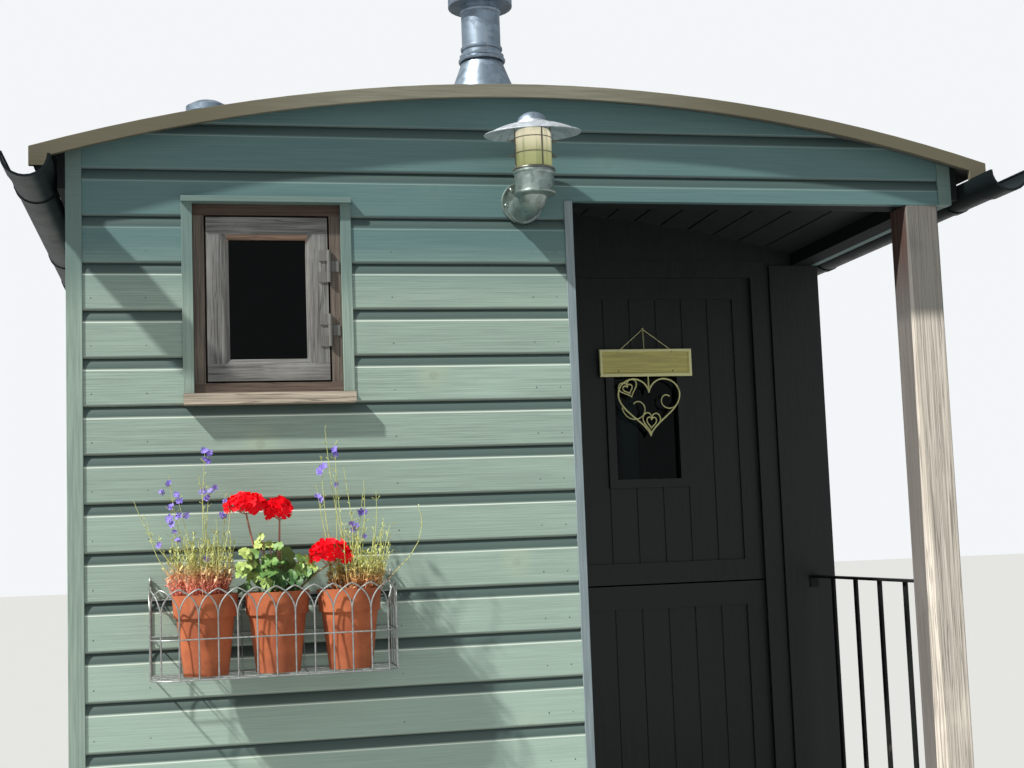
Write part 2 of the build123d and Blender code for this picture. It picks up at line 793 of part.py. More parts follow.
with BuildPart() as green_trims:
    for x_side, y_side, foot in ((-1, -1, board_bottom), (-1, 1, board_bottom), (1, 1, board_bottom),
                                 (1, -1, header_bottom)):
        add(corner_trim(x_side, y_side, foot, trim_width))
    for plane, window in window_planes.values():
        add(window_trims(plane, window))
    with BuildSketch(Plane.XY.offset(board_bottom)):
        skirt_left = porch_left + 1.0
        with Locations(((skirt_left + half_width) / 2, (front_face - trim_proud + front_core) / 2)):
            Rectangle(half_width - skirt_left, board_depth + trim_proud)
        with Locations(((side_core + half_width) / 2, (front_core + porch_back) / 2)):
            Rectangle(half_width - side_core, porch_back - front_core)
    extrude(amount=floor_top - deck_thick - board_bottom)
    with BuildSketch(Plane.XY.offset(board_bottom)):
        with Locations(((side_core + half_width) / 2, porch_back + trim_width / 2)):
            Rectangle(half_width - side_core, trim_width)
    extrude(amount=header_bottom - board_bottom)
save(green_trims.part, "green_trims")

# Slate grey trim down the porch corner
with BuildPart() as porch_corner_trim:
    with BuildSketch(Plane.XY.offset(board_bottom)):
        with Locations((porch_left - porch_trim_width / 2, (front_face - trim_proud + front_core) / 2)):
            Rectangle(porch_trim_width, board_depth + trim_proud)
    extrude(amount=header_bottom - board_bottom)
save(porch_corner_trim.part, "porch_corner_trim")

# Roof: a curved deck of boards and rafters under a curved metal sheet
flue_y = front_face + flue_y_from_front
vent_y = front_face + vent_y_from_front
flue_gap = 6.0
with BuildPart() as roof_deck:
    add(arc_band(front_core, rear_core, deck_outer - seat_gap, deck_inner, side_core))
    add(
        arc_block(porch_left, side_inner, front_inner, porch_back, header_bottom, deck_inner + ceiling_thick),
        mode=Mode.SUBTRACT,
    )
    with BuildSketch(Plane.XY.offset(roof_top)):
        with Locations((flue_x, flue_y)):
            Circle(flue_radius + flue_gap)
    extrude(amount=-3 * roof_deck_depth, mode=Mode.SUBTRACT)
save(roof_deck.part, "roof_deck")

sheet_front = front_face - roof_overhang + end_trim_thick
sheet_rear = rear_face + roof_overhang - end_trim_thick
with BuildPart() as roof_sheet_part:
    add(arc_band(sheet_front, sheet_rear, roof_radius, deck_outer, roof_half_width))
    with BuildSketch(Plane.XY.offset(roof_top + roof_sheet)):
        with Locations((flue_x, flue_y)):
            Circle(flue_radius + flue_gap)
    extrude(amount=-3 * roof_deck_depth, mode=Mode.SUBTRACT)
save(roof_sheet_part.part, "roof_sheet")

# End boards of the roof, which hang down at both ends to the gutters
trim_outer = roof_radius + end_trim_proud
with BuildPart() as roof_end_trims:
    for y0, y1 in ((front_face - roof_overhang, sheet_front), (sheet_rear, rear_face + roof_overhang)):
        add(arc_band(y0, y1, trim_outer, trim_outer - end_trim_height, roof_half_width))
        for side in (-1, 1):
            x0, x1 = sorted((side * roof_half_width, side * (roof_half_width - end_drop_width)))
            add(arc_block(x0, x1, y0, y1, gutter_lip + end_drop_gap, trim_outer - end_trim_proud))
save(roof_end_trims.part, "roof_end_trims")

# Fascia boards under the eaves
with BuildPart() as fascias:
    for side in (-1, 1):
        x0, x1 = sorted((side * half_width, side * (half_width + fascia_thick)))
        add(arc_block(x0, x1, front_face - trim_proud, rear_face + trim_proud, fascia_bottom, board_roof))
save(fascias.part, "eaves_fascias")

# Half-round gutters on straps
gutter_length = body_length + gutter_ahead * 2
strap_wide = 30.0
strap_thick = 3.0
strap_inset = 120.0
strap_plate_high = 50.0
strap_plate_drop = 15.0
gutter_liner = gutter_radius - gutter_wall / 2
for side, name in ((-1, "gutter_left"), (1, "gutter_right")):
    with BuildPart() as gutter:
        with BuildSketch(Plane.XZ.offset(-(rear_face + gutter_ahead))):
            add(half_round(side * gutter_x, gutter_radius, gutter_radius - gutter_wall, gutter_lip))
            with Locations((side * (gutter_x + gutter_radius - gutter_wall / 2), gutter_lip)):
                RegularPolygon(gutter_bead, gutter_facets)
        extrude(amount=gutter_length)
        for index in range(int(gutter_length / union_spacing) + 1):
            union_y = front_face - gutter_ahead + index * union_spacing
            with BuildSketch(Plane.XZ.offset(-(union_y + union_length))):
                add(half_round(side * gutter_x, gutter_radius + union_thick, gutter_liner, gutter_lip))
            extrude(amount=union_length)
        for index in range(gutter_brackets):
            strap_pitch = (body_length - 2 * strap_inset) / (gutter_brackets - 1)
            strap_y = front_face + strap_inset + index * strap_pitch
            with BuildSketch(Plane.XZ.offset(-(strap_y + strap_wide / 2))):
                add(half_round(side * gutter_x, gutter_radius + strap_thick, gutter_liner, gutter_lip))
                plate_x = half_width + fascia_thick + seat_gap + strap_thick / 2
                with Locations((side * plate_x, gutter_lip - strap_plate_drop)):
                    Rectangle(strap_thick, strap_plate_high)
            extrude(amount=strap_wide)
    save(gutter.part, name)

# Flue pipe with its rain cowl, and the cone that seals it to the roof
stove_top = floor_top + stove_height
cowl_skirt = 26.0
cowl_gap = 45.0
cowl_neck = 6.0
cowl_brim = 22.0
cowl_lift = 30.0
cowl_height = 110.0
apex = 1.0
pipe_sides = 28
with BuildPart() as flue:
    with BuildSketch(Plane.XY.offset(stove_top)):
        with Locations((flue_x, flue_y)):
            Circle(flue_radius)
    extrude(amount=cowl_z + cowl_gap - stove_top)
    cowl_rings = [
        (cowl_radius, cowl_z),
        (cowl_radius, cowl_z + cowl_skirt),
        (flue_radius + cowl_neck, cowl_z + cowl_gap + cowl_neck),
        (flue_radius + cowl_brim, cowl_z + cowl_gap + cowl_lift),
        (apex, cowl_z + cowl_height),
    ]
    add(turned(flue_x, flue_y, cowl_rings, pipe_sides))
    with BuildSketch(Plane.XY.offset(stove_top)):
        with Locations((flue_x, flue_y)):
            Circle(flue_radius - flue_wall)
    extrude(amount=cowl_z + cowl_gap - stove_top, mode=Mode.SUBTRACT)
save(flue.part, "flue_pipe")

cone_foot_z = roof_centre + sqrt(trim_outer**2 - (abs(flue_x) + cone_base) ** 2)
cone_rim = 12.0
cone_bend = 58.0
cone_collar = 4.0
cone_shoulder = 26.0
with BuildPart() as flashing:
    cone_rings = [
        (cone_base, cone_foot_z),
        (cone_base, cone_foot_z + cone_rim),
        (flue_radius + cone_shoulder, cone_top - cone_bend),
        (flue_radius + cone_collar, cone_top),
    ]
    add(turned(flue_x, flue_y, cone_rings, pipe_sides))
    with BuildSketch(Plane.XZ.offset(-(flue_y + 2 * cone_base))):
        with Locations((0, roof_centre)):
            Circle(roof_radius + seat_gap)
    extrude(amount=4 * cone_base, mode=Mode.SUBTRACT)
    with BuildSketch(Plane.XY.offset(stove_top)):
        with Locations((flue_x, flue_y)):
            Circle(flue_radius + seat_gap)
    extrude(amount=cowl_z - stove_top, mode=Mode.SUBTRACT)
save(flashing.part, "flue_cone")

vent_sink = 25.0
vent_foot = roof_centre + sqrt(roof_radius**2 - vent_x**2)
vent_neck = vent_radius * 0.6
vent_crown = vent_foot + vent_height
with BuildPart() as vent:
    vent_rings = [
        (vent_neck, vent_foot - vent_sink),
        (vent_neck, vent_crown - vent_cap_height),
        (vent_radius, vent_crown - vent_cap_height),
        (vent_radius, vent_crown - vent_cap_height / 2),
        (vent_neck, vent_crown - vent_cap_height / 8),
        (apex, vent_crown),
    ]
    add(turned(vent_x, vent_y, vent_rings, pipe_sides))
    with BuildSketch(Plane.XZ.offset(-(vent_y + 2 * vent_radius))):
        with Locations((0, roof_centre)):
            Circle(roof_radius + seat_gap)
    extrude(amount=4 * vent_radius, mode=Mode.SUBTRACT)
save(vent.part, "roof_vent")

# Stove: one plain block on short legs, below the flue
stove_x = porch_left - wall_thick - stove_width / 2 - 25.0
with BuildPart() as stove:
    with BuildSketch(Plane.XY.offset(floor_top + stove_leg)):
        with Locations((stove_x, flue_y)):
            Rectangle(stove_width, stove_depth)
    extrude(amount=stove_height - stove_leg)
    with BuildSketch(Plane.XY.offset(floor_top)):
        with Locations((stove_x, flue_y)):
            with GridLocations(stove_width - 50.0, stove_depth - 50.0, 2, 2):
                Rectangle(40.0, 40.0)
    extrude(amount=stove_leg)
save(stove.part, "stove")

# Charcoal trims round the porch door and at the right end of the back wall
with BuildPart() as porch_trims:
    with BuildSketch(Plane.XZ.offset(-porch_back)):
        with Locations(((frame_right + side_face) / 2, (floor_top + header_bottom) / 2)):
            Rectangle(side_face - frame_right, header_bottom - floor_top)
        with Locations(((porch_left + 1.0 + frame_left) / 2, (floor_top + frame_top) / 2)):
            Rectangle(frame_left - porch_left - 1.0, frame_top - floor_top)
    extrude(amount=corner_board_thick)
save(porch_trims.part, "porch_trims")

# Butt hinges: the frame has the middle knuckle, the leaf has the two beside it
def hinge_half(plane, heights, outer_knuckles, plate_side):
    """Knuckles round the plane's z axis, each on a plate that lies on the face below them.

    The plane's z axis runs up the hinge line, and its x axis points from the leaf to the frame.
    """
    with BuildPart() as half:
        for height in heights:
            for step in (-1, 1) if outer_knuckles else (0,):
                foot = height + (step - 0.5) * knuckle_length + step * seat_gap
                with BuildSketch(plane.offset(foot)):
                    RegularPolygon(knuckle_radius, knuckle_sides)
                    plate_middle = plate_side * hinge_plate_wide / 2
                    with Locations((plate_middle, -knuckle_radius - knuckle_seat + hinge_plate / 2)):
                        Rectangle(hinge_plate_wide, hinge_plate)
                extrude(amount=knuckle_length)
    return half.part


# Door frame with an outer lip that the leaves close behind, and a threshold
door_right = door_left + door_width
door_middle = (door_left + door_right) / 2
leaf_half = door_width / 2 + leaf_lap
leaf_front = porch_back + leaf_set_back
leaf_back = leaf_front + leaf_thick
door_hinge_x = door_middle + leaf_half + leaf_gap / 2
door_hinge_y = leaf_back + knuckle_radius + knuckle_seat
door_hinge_plane = Plane(origin=(door_hinge_x, door_hinge_y, 0), x_dir=(1, 0, 0), z_dir=(0, 0, 1))
upper_hinges = (door_split + 150.0, door_top - 150.0)
lower_hinges = (floor_top + threshold_height + 150.0, door_split - 150.0)
with BuildPart() as door_frame:
    add(hinge_half(door_hinge_plane, upper_hinges + lower_hinges, False, 1))
    with BuildSketch(Plane.XZ.offset(-leaf_back)):
        with Locations((door_middle, (floor_top + frame_top) / 2)):
            Rectangle(frame_right - frame_left - 1.0, frame_top - floor_top - 0.5)
        with Locations((door_middle, (floor_top + threshold_height + door_top + leaf_lap + leaf_gap) / 2)):
            Rectangle(
                2 * (leaf_half + leaf_gap),
                door_top + leaf_lap + leaf_gap - floor_top - threshold_height,
                mode=Mode.SUBTRACT,
            )
    extrude(amount=leaf_set_back + leaf_thick + lip_reach)
    with BuildSketch(Plane.XZ.offset(-(porch_back - lip_reach + lip_thick))):
        with Locations((door_middle, (floor_top + frame_top - 1.0) / 2)):
            Rectangle(2 * (leaf_half + leaf_gap) + 2.0, frame_top - 1.0 - floor_top)
        with Locations((door_middle, (floor_top + threshold_height + door_top) / 2)):
            Rectangle(door_width, door_top - floor_top - threshold_height, mode=Mode.SUBTRACT)
    extrude(amount=lip_thick)
save(door_frame.part, "door_frame")

# Two leaves of a stable door: stiles and rails round grooved boards
leaf_foot = floor_top + threshold_height + leaf_gap
light_x = door_middle


def door_leaf(foot, head, panel_foot, panel_head, light, hinges):
    """A leaf with a sunk panel of grooved boards, and the light's opening where it has one."""
    with BuildPart() as leaf:
        add(hinge_half(door_hinge_plane, hinges, True, -1))
        with BuildSketch(Plane.XZ.offset(-leaf_back)):
            with Locations((door_middle, (foot + head) / 2)):
                Rectangle(2 * leaf_half, head - foot)
        extrude(amount=leaf_thick)
        panel_wide = door_width - 2 * stile_width
        with BuildSketch(Plane.XZ.offset(-(leaf_front + panel_recess))):
            with Locations((door_middle, (panel_foot + panel_head) / 2)):
                Rectangle(panel_wide, panel_head - panel_foot)
        extrude(amount=panel_recess, mode=Mode.SUBTRACT)
        with BuildSketch(Plane.XZ.offset(-(leaf_front + panel_recess + groove_depth))):
            with Locations((door_middle, (panel_foot + panel_head) / 2)):
                with GridLocations(groove_pitch, 0, groove_count, 1):
                    Rectangle(groove_width, panel_head - panel_foot)
        extrude(amount=groove_depth, mode=Mode.SUBTRACT)
        if light:
            light_middle = light_bottom + light_height / 2
            with BuildSketch(Plane.XZ.offset(-(leaf_front + panel_recess + groove_depth + 1.0))):
                with Locations((light_x, light_middle)):
                    Rectangle(light_width + 2 * light_bead, light_height + 2 * light_bead)
            extrude(amount=panel_recess + groove_depth + 1.0 + 4.0)
            with BuildSketch(Plane.XZ.offset(-leaf_back)):
                with Locations((light_x, light_middle)):
                    Rectangle(light_width, light_height)
            extrude(amount=leaf_thick + 10.0, mode=Mode.SUBTRACT)
            with BuildSketch(Plane.XZ.offset(-leaf_back)):
                with Locations((light_x, light_middle)):
                    Rectangle(light_width + 2 * glass_lap + 1.0, light_height + 2 * glass_lap + 1.0)
            extrude(amount=leaf_thick / 2, mode=Mode.SUBTRACT)
    return leaf.part


upper_leaf = door_leaf(
    door_split + leaf_split_gap / 2, door_top + leaf_lap, door_split + rail_high, door_top - rail_high,
    True, upper_hinges,
)
save(upper_leaf, "door_upper_leaf")
lower_leaf = door_leaf(
    leaf_foot, door_split - leaf_split_gap / 2, leaf_foot + rail_high + 60.0, door_split - rail_high - 8.0,
    False, lower_hinges,
)
save(lower_leaf, "door_lower_leaf")
with BuildPart() as door_glass:
    with BuildSketch(Plane.XZ.offset(-(leaf_back - leaf_thick / 2 + glass_thick))):
        with Locations((light_x, light_bottom + light_height / 2)):
            Rectangle(light_width + 2 * glass_lap, light_height + 2 * glass_lap)
    extrude(amount=glass_thick)
save(door_glass.part, "door_glass")


# Windows: an oak frame with a sill, a hinged sash and its pane
def window_hinges(window):
    """Distances of the hinges below the frame's top."""
    return (window["height"] * 0.33, window["height"] * 0.67)


def window_hinge(plane, window):
    """Plane of a sash's hinge line, with its x axis towards the frame and its y axis outwards."""
    out = sash_set_back - knuckle_radius - knuckle_seat
    side = window["width"] / 2 - window_member - sash_gap / 2
    origin = plane.from_local_coords((side, 0, -out))
    return Plane(origin=origin, x_dir=plane.x_dir, z_dir=-plane.y_dir)


def window_frame(plane, window):
    """Frame, inner stop and sill. The plane's origin is the middle of the frame's top edge."""
    wide, high = window["width"], window["height"]
    depth = board_depth + wall_thick
    with BuildPart() as frame:
        add(hinge_half(window_hinge(plane, window), window_hinges(window), False, 1))
        with BuildSketch(plane.offset(-depth)):
            with Locations((0, -high / 2)):
                Rectangle(wide - 1.0, high - 1.0)
                Rectangle(wide - 2 * window_member, high - 2 * window_member, mode=Mode.SUBTRACT)
        extrude(amount=depth - window_set_back)
        with BuildSketch(plane.offset(-depth)):
            with Locations((0, -high / 2)):
                Rectangle(wide - 1.0, high - 1.0)
                Rectangle(
                    wide - 2 * window_member - 2 * sash_gap - 2 * stop_lap,
                    high - 2 * window_member - 2 * sash_gap - 2 * stop_lap,
                    mode=Mode.SUBTRACT,
                )
        extrude(amount=depth - sash_set_back - sash_thick - sash_gap)
        with BuildSketch(plane.offset(-board_depth)):
            with Locations((0, -high - sill_height / 2)):
                Rectangle(wide + 2 * window_trim - 1.0, sill_height)
        extrude(amount=board_depth + sill_reach)
        with BuildSketch(plane.offset(-board_depth)):
            with Locations((0, -high)):
                Rectangle(wide - 2.0, 2.0)
        extrude(amount=board_depth - window_set_back)
    return frame.part


def window_sash(plane, window):
    """Sash with a rebate for the pane on its inner side."""
    wide = window["width"] - 2 * window_member - 2 * sash_gap
    high = window["height"] - 2 * window_member - 2 * sash_gap
    with BuildPart() as sash:
        add(hinge_half(window_hinge(plane, window), window_hinges(window), True, -1))
        with BuildSketch(plane.offset(-sash_set_back - sash_thick)):
            with Locations((0, -window["height"] / 2)):
                Rectangle(wide, high)
                Rectangle(wide - 2 * sash_stile, high - 2 * sash_stile, mode=Mode.SUBTRACT)
        extrude(amount=sash_thick)
        with BuildSketch(plane.offset(-sash_set_back - sash_thick)):
            with Locations((0, -window["height"] / 2)):
                rebate = 2 * (glass_lap + rebate_play - sash_stile)
                Rectangle(wide + rebate, high + rebate)
        extrude(amount=sash_thick / 2, mode=Mode.SUBTRACT)
        with BuildSketch(plane.offset(-sash_set_back)):
            with Locations((0, -window["height"] / 2)):
                Rectangle(
                    wide - 2 * sash_stile + 2 * sash_bead, high - 2 * sash_stile + 2 * sash_bead
                )
        bead_slope = degrees(atan2(sash_bead, sash_bead_depth))
        extrude(amount=-sash_bead_depth, taper=bead_slope, mode=Mode.SUBTRACT)
        with BuildSketch(Plane(origin=plane.origin, x_dir=plane.x_dir, z_dir=-plane.y_dir)):
            with BuildLine():
                Polyline(
                    (-wide / 2, -sash_set_back),
                    (-wide / 2, -sash_set_back - sash_thick),
                    (-wide / 2 + sash_bevel, -sash_set_back - sash_thick),
                    close=True,
                )
            make_face()
        extrude(amount=window["height"], mode=Mode.SUBTRACT)
    return sash.part


def window_pane(plane, window):
    """Glass that lies in the sash's rebate."""
    wide = window["width"] - 2 * window_member - 2 * sash_gap - 2 * sash_stile + 2 * glass_lap
    high = window["height"] - 2 * window_member - 2 * sash_gap - 2 * sash_stile + 2 * glass_lap
    with BuildPart() as pane:
        with BuildSketch(plane.offset(-sash_set_back - sash_thick / 2 - glass_thick)):
            with Locations((0, -window["height"] / 2)):
                Rectangle(wide, high)
        extrude(amount=glass_thick)
    return pane.part


for where, (plane, window) in window_planes.items():
    save(window_frame(plane, window), f"window_frame_{where}")
    save(window_sash(plane, window), f"window_sash_{where}")
    save(window_pane(plane, window), f"window_glass_{where}")

# Railing between the post and the back wall
railing_start = front_face + post_size
railing_end = porch_back - corner_board_thick
lug = 40.0
with BuildPart() as railing:
    for bar_z in (railing_top - bar_thick, railing_foot):
        with BuildSketch(Plane.XY.offset(bar_z)):
            with Locations((railing_x, (railing_start + railing_end) / 2)):
                Rectangle(bar_wide, railing_end - railing_start)
        extrude(amount=bar_thick)
    with BuildSketch(Plane.XY.offset(railing_foot)):
        for index in range(baluster_count):
            with Locations((railing_x, front_face + post_size + baluster_pitch * (index + 1))):
                Rectangle(bar_thick, baluster_wide)
    extrude(amount=railing_top - railing_foot)
    for bar_z in (railing_top, railing_foot + bar_thick):
        for end_y in (railing_start, railing_end - 6.0):
            with BuildSketch(Plane.XY.offset(bar_z - lug)):
                with Locations((railing_x, end_y + 3.0)):
                    Rectangle(bar_wide, 6.0)
            extrude(amount=lug)
save(railing.part, "porch_railing")

# Wall lantern: wall plate, elbow, cup, wire cage and shade round a glass
lamp_y = front_face - lamp_reach
lamp_cup_top = lamp_cup_bottom + lamp_cup_height
lamp_shade_rim = lamp_cup_top + lamp_jar_height
lamp_top = lamp_shade_rim + lamp_crown
lamp_plate_z = lamp_cup_bottom + lamp_plate_thick
lamp_bend = 46.0
lamp_lap = 2.0
bend_short = lamp_bend * (1 - cos(radians(45)))
lamp_elbow_z = lamp_cup_bottom - lamp_lap
lamp_ring_thick = 5.0
lamp_sides = 28
shade_lip = 4.0
shade_neck = 30.0
shade_rise = 18.0
dome_foot = 28.0
dome_shoulder = 10.0
dome_ratio = 0.75
jar_gap = 12.0
jar_sides = 20
cage_wires = 6
cage_wire = 3.0
cage_rings = 3
elbow_sides = 12
with BuildPart() as lantern:
    with BuildSketch(Plane.XZ.offset(-front_face)):
        with Locations((lamp_x, lamp_plate_z)):
            RegularPolygon(lamp_plate_radius, lamp_sides)
    extrude(amount=lamp_plate_thick)
    with BuildLine() as elbow_path:
        elbow_start = (lamp_x, lamp_y + lamp_bend, lamp_elbow_z)
        Line((lamp_x, front_face - lamp_plate_thick / 2, lamp_elbow_z), elbow_start)
        ThreePointArc(
            elbow_start,
            (lamp_x, lamp_y + bend_short, lamp_elbow_z + bend_short),
            (lamp_x, lamp_y, lamp_elbow_z + lamp_bend),
        )
    with BuildSketch(Plane.XZ.offset(-front_face + lamp_plate_thick / 2)):
        with Locations((lamp_x, lamp_elbow_z)):
            RegularPolygon(lamp_elbow_radius, elbow_sides)
    sweep(path=elbow_path)
    cup_rings = [(lamp_cup_radius - lamp_lap, lamp_cup_bottom), (lamp_cup_radius, lamp_cup_top)]
    add(turned(lamp_x, lamp_y, cup_rings, lamp_sides))
    shade_rings = [
        (lamp_shade_radius - shade_lip, lamp_shade_rim - shade_lip),
        (lamp_shade_radius, lamp_shade_rim),
        (lamp_dome_radius + shade_neck, lamp_shade_rim + shade_rise),
        (lamp_dome_radius, lamp_shade_rim + dome_foot),
        (lamp_dome_radius * dome_ratio, lamp_top - dome_shoulder),
        (apex, lamp_top),
    ]
    add(turned(lamp_x, lamp_y, shade_rings, lamp_sides))
    with BuildSketch(Plane.XY.offset(lamp_cup_top - lamp_lap)):
        with Locations((lamp_x, lamp_y)):
            with PolarLocations(lamp_cage_radius - cage_wire, cage_wires):
                RegularPolygon(cage_wire, 6)
    extrude(amount=lamp_jar_height + lamp_lap)
    for index in range(cage_rings):
        with BuildSketch(Plane.XY.offset(lamp_cup_top - lamp_lap + index * lamp_jar_height / cage_rings)):
            with Locations((lamp_x, lamp_y)):
                RegularPolygon(lamp_cage_radius, jar_sides)
                RegularPolygon(lamp_cage_radius - lamp_ring_thick, jar_sides, mode=Mode.SUBTRACT)
        extrude(amount=lamp_ring_thick)
save(lantern.part, "lantern")

with BuildPart() as lantern_glass:
    with BuildSketch(Plane.XY.offset(lamp_cup_top)):
        with Locations((lamp_x, lamp_y)):
            RegularPolygon(lamp_glass_radius, jar_sides)
    extrude(amount=lamp_jar_height - jar_gap)
save(lantern_glass.part, "lantern_glass")

# Wire basket with rounded front corners, and three clay pots that stand in it
basket_back = front_face - basket_gap
basket_middle = basket_left + basket_width / 2
basket_high = basket_top - basket_bottom


def basket_outline(inset):
    """Plan of the basket: straight at the wall, rounded at the front."""
    half = basket_width / 2 - inset
    front = basket_back - basket_depth + inset
    bend = basket_corner - inset / 2
    with BuildSketch() as plan:
        with BuildLine():
            Line((basket_middle - half, basket_back), (basket_middle - half, front + bend))
            RadiusArc((basket_middle - half, front + bend), (basket_middle - half + bend, front), -bend)
            Line((basket_middle - half + bend, front), (basket_middle + half - bend, front))
            RadiusArc((basket_middle + half - bend, front), (basket_middle + half, front + bend), -bend)
            Line((basket_middle + half, front + bend), (basket_middle + half, basket_back))
            Line((basket_middle + half, basket_back), (basket_middle - half, basket_back))
        make_face()
    return plan.sketch


basket_arches = 11
arch_sides = 16
basket_straight = basket_width - 2 * basket_corner
arch_pitch = basket_straight / (basket_arches - 1)
arch_foot = basket_top - arch_pitch
side_reaches = (wire / 2, 40.0, 80.0)
end_loop = 13.0
basket_rings = [
    ("middle", basket_bottom + basket_high * 0.45),
    ("foot", basket_bottom),
]
with BuildPart() as basket:
    for _, ring_z in basket_rings:
        with BuildSketch(Plane.XY.offset(ring_z)):
            add(basket_outline(0.0))
            add(basket_outline(wire), mode=Mode.SUBTRACT)
        extrude(amount=wire)
    with BuildSketch(Plane.XY.offset(arch_foot - wire)):
        add(basket_outline(0.0))
        add(basket_outline(wire), mode=Mode.SUBTRACT)
        with Locations((basket_middle, basket_back - basket_depth)):
            Rectangle(basket_straight, basket_depth, mode=Mode.SUBTRACT)
    extrude(amount=wire)
    with BuildSketch(Plane.XY.offset(basket_bottom)):
        with Locations((basket_middle, basket_back - basket_depth + wire / 2)):
            with GridLocations(arch_pitch, 0, basket_arches, 1):
                Rectangle(wire, wire)
        for side in (-1, 1):
            for reach in side_reaches:
                side_x = basket_middle + side * (basket_width - wire) / 2
                with Locations((side_x, basket_back - reach)):
                    Rectangle(wire, wire)
    extrude(amount=arch_foot - basket_bottom)
    with BuildSketch(Plane.XZ.offset(-(basket_back - basket_depth + wire))):
        with Locations((basket_middle, arch_foot)):
            with GridLocations(arch_pitch, 0, basket_arches - 2, 1):
                RegularPolygon(arch_pitch + wire / 2, arch_sides)
                RegularPolygon(arch_pitch - wire / 2, arch_sides, mode=Mode.SUBTRACT)
        with Locations((basket_middle, arch_foot - basket_high / 2)):
            Rectangle(basket_width, basket_high, mode=Mode.SUBTRACT)
    extrude(amount=wire)
    for side in (-1, 1):
        post_middle = basket_middle + side * (basket_width - wire) / 2
        with BuildSketch(Plane.XY.offset(arch_foot - wire)):
            with Locations((post_middle, basket_back - wire / 2)):
                Rectangle(wire, wire)
        extrude(amount=basket_top - end_loop - arch_foot + wire)
        with BuildSketch(Plane.YZ.offset(post_middle - wire / 2)):
            with Locations((basket_back - end_loop, basket_top - wire)):
                Circle(end_loop)
                Circle(end_loop - wire, mode=Mode.SUBTRACT)
        extrude(amount=wire)
    with BuildSketch(Plane.XY.offset(basket_bottom)):
        for index in range(floor_wires):
            along = basket_back - basket_depth * (index + 0.5) / floor_wires
            with Locations((basket_middle, along)):
                Rectangle(basket_width - 2 * wire, wire)
        with Locations((basket_middle, basket_back - basket_depth / 2)):
            with GridLocations(basket_straight / (floor_wires - 1), 0, floor_wires, 1):
                Rectangle(wire, basket_depth - wire)
    extrude(amount=wire)
save(basket.part, "flower_basket")

pot_y = basket_back - basket_depth / 2
pot_foot = basket_bottom + wire + seat_gap
pot_top = pot_foot + pot_height
band_step = 6.0
pot_wall = 10.0
pot_sides = 24
with BuildPart() as pots:
    for pot_x in pot_centres:
        pot_rings = [
            (pot_foot_radius, pot_foot),
            (pot_rim_radius - pot_wall, pot_top - pot_rim_band),
            (pot_rim_radius - pot_wall + band_step, pot_top - pot_rim_band),
            (pot_rim_radius, pot_top),
        ]
        add(turned(pot_x, pot_y, pot_rings, pot_sides))
        soil_rings = [
            (pot_rim_radius - pot_wall - band_step, pot_top - pot_soil_depth),
            (pot_rim_radius - pot_wall, pot_top),
        ]
        add(turned(pot_x, pot_y, soil_rings, pot_sides), mode=Mode.SUBTRACT)
save(pots.part, "flower_pots")

# Wooden steps that lean on the skirt under the deck
step_rise = floor_top / (step_count + 1)
step_right = step_left + step_width
step_front = front_face - steps_reach
string_high = 150.0
with BuildPart() as steps:
    for string_x in (step_left, step_right - string_thick):
        with BuildSketch(Plane.YZ.offset(string_x)):
            with BuildLine():
                Polyline(
                    (step_front, 0.0),
                    (step_front, step_rise),
                    (front_face - trim_proud, floor_top - 40.0),
                    (front_face - trim_proud, floor_top - 40.0 - string_high - 60.0),
                    (step_front + 150.0, 0.0),
                    close=True,
                )
            make_face()
        extrude(amount=string_thick)
    for index in range(step_count):
        with BuildSketch(Plane.XY.offset(step_rise * (index + 1) - step_thick)):
            with Locations(((step_left + step_right) / 2, step_front + step_going * (index + 0.5))):
                Rectangle(step_width, step_going - 8.0)
        extrude(amount=step_thick)
save(steps.part, "porch_steps")
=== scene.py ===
"""Looks of the shepherd hut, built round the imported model.

The hut's own nodes get painted, weathered and galvanised finishes, most of them on softened copies.
The basket with its plants, the wall lantern and the hanging sign are built here in full.
Everything is in metres, in the hut's own frame: the porch end faces -Y.
"""

import json
import math
import random

import bmesh
import bpy
from mathutils import Matrix, Vector

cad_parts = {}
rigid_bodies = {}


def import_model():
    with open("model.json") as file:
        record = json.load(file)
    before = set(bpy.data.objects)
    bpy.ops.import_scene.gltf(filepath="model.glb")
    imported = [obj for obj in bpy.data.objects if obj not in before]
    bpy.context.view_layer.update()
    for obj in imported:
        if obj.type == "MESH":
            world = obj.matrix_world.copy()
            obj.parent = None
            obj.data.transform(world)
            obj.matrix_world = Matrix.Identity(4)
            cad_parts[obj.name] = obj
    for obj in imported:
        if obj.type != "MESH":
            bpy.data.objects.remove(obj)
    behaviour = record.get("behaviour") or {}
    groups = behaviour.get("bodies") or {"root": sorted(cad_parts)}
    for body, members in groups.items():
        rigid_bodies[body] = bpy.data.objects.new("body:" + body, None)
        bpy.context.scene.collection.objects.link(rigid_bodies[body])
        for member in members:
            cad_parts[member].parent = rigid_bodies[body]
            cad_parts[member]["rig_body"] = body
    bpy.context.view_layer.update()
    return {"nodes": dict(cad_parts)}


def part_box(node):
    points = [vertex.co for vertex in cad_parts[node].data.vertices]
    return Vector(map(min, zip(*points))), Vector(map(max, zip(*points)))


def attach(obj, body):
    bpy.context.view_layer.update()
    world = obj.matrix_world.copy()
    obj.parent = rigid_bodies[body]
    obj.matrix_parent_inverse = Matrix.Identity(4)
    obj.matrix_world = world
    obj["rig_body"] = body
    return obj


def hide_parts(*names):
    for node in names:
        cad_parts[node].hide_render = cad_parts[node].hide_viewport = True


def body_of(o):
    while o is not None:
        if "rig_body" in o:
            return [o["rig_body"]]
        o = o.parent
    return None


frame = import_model()
nodes = frame["nodes"]

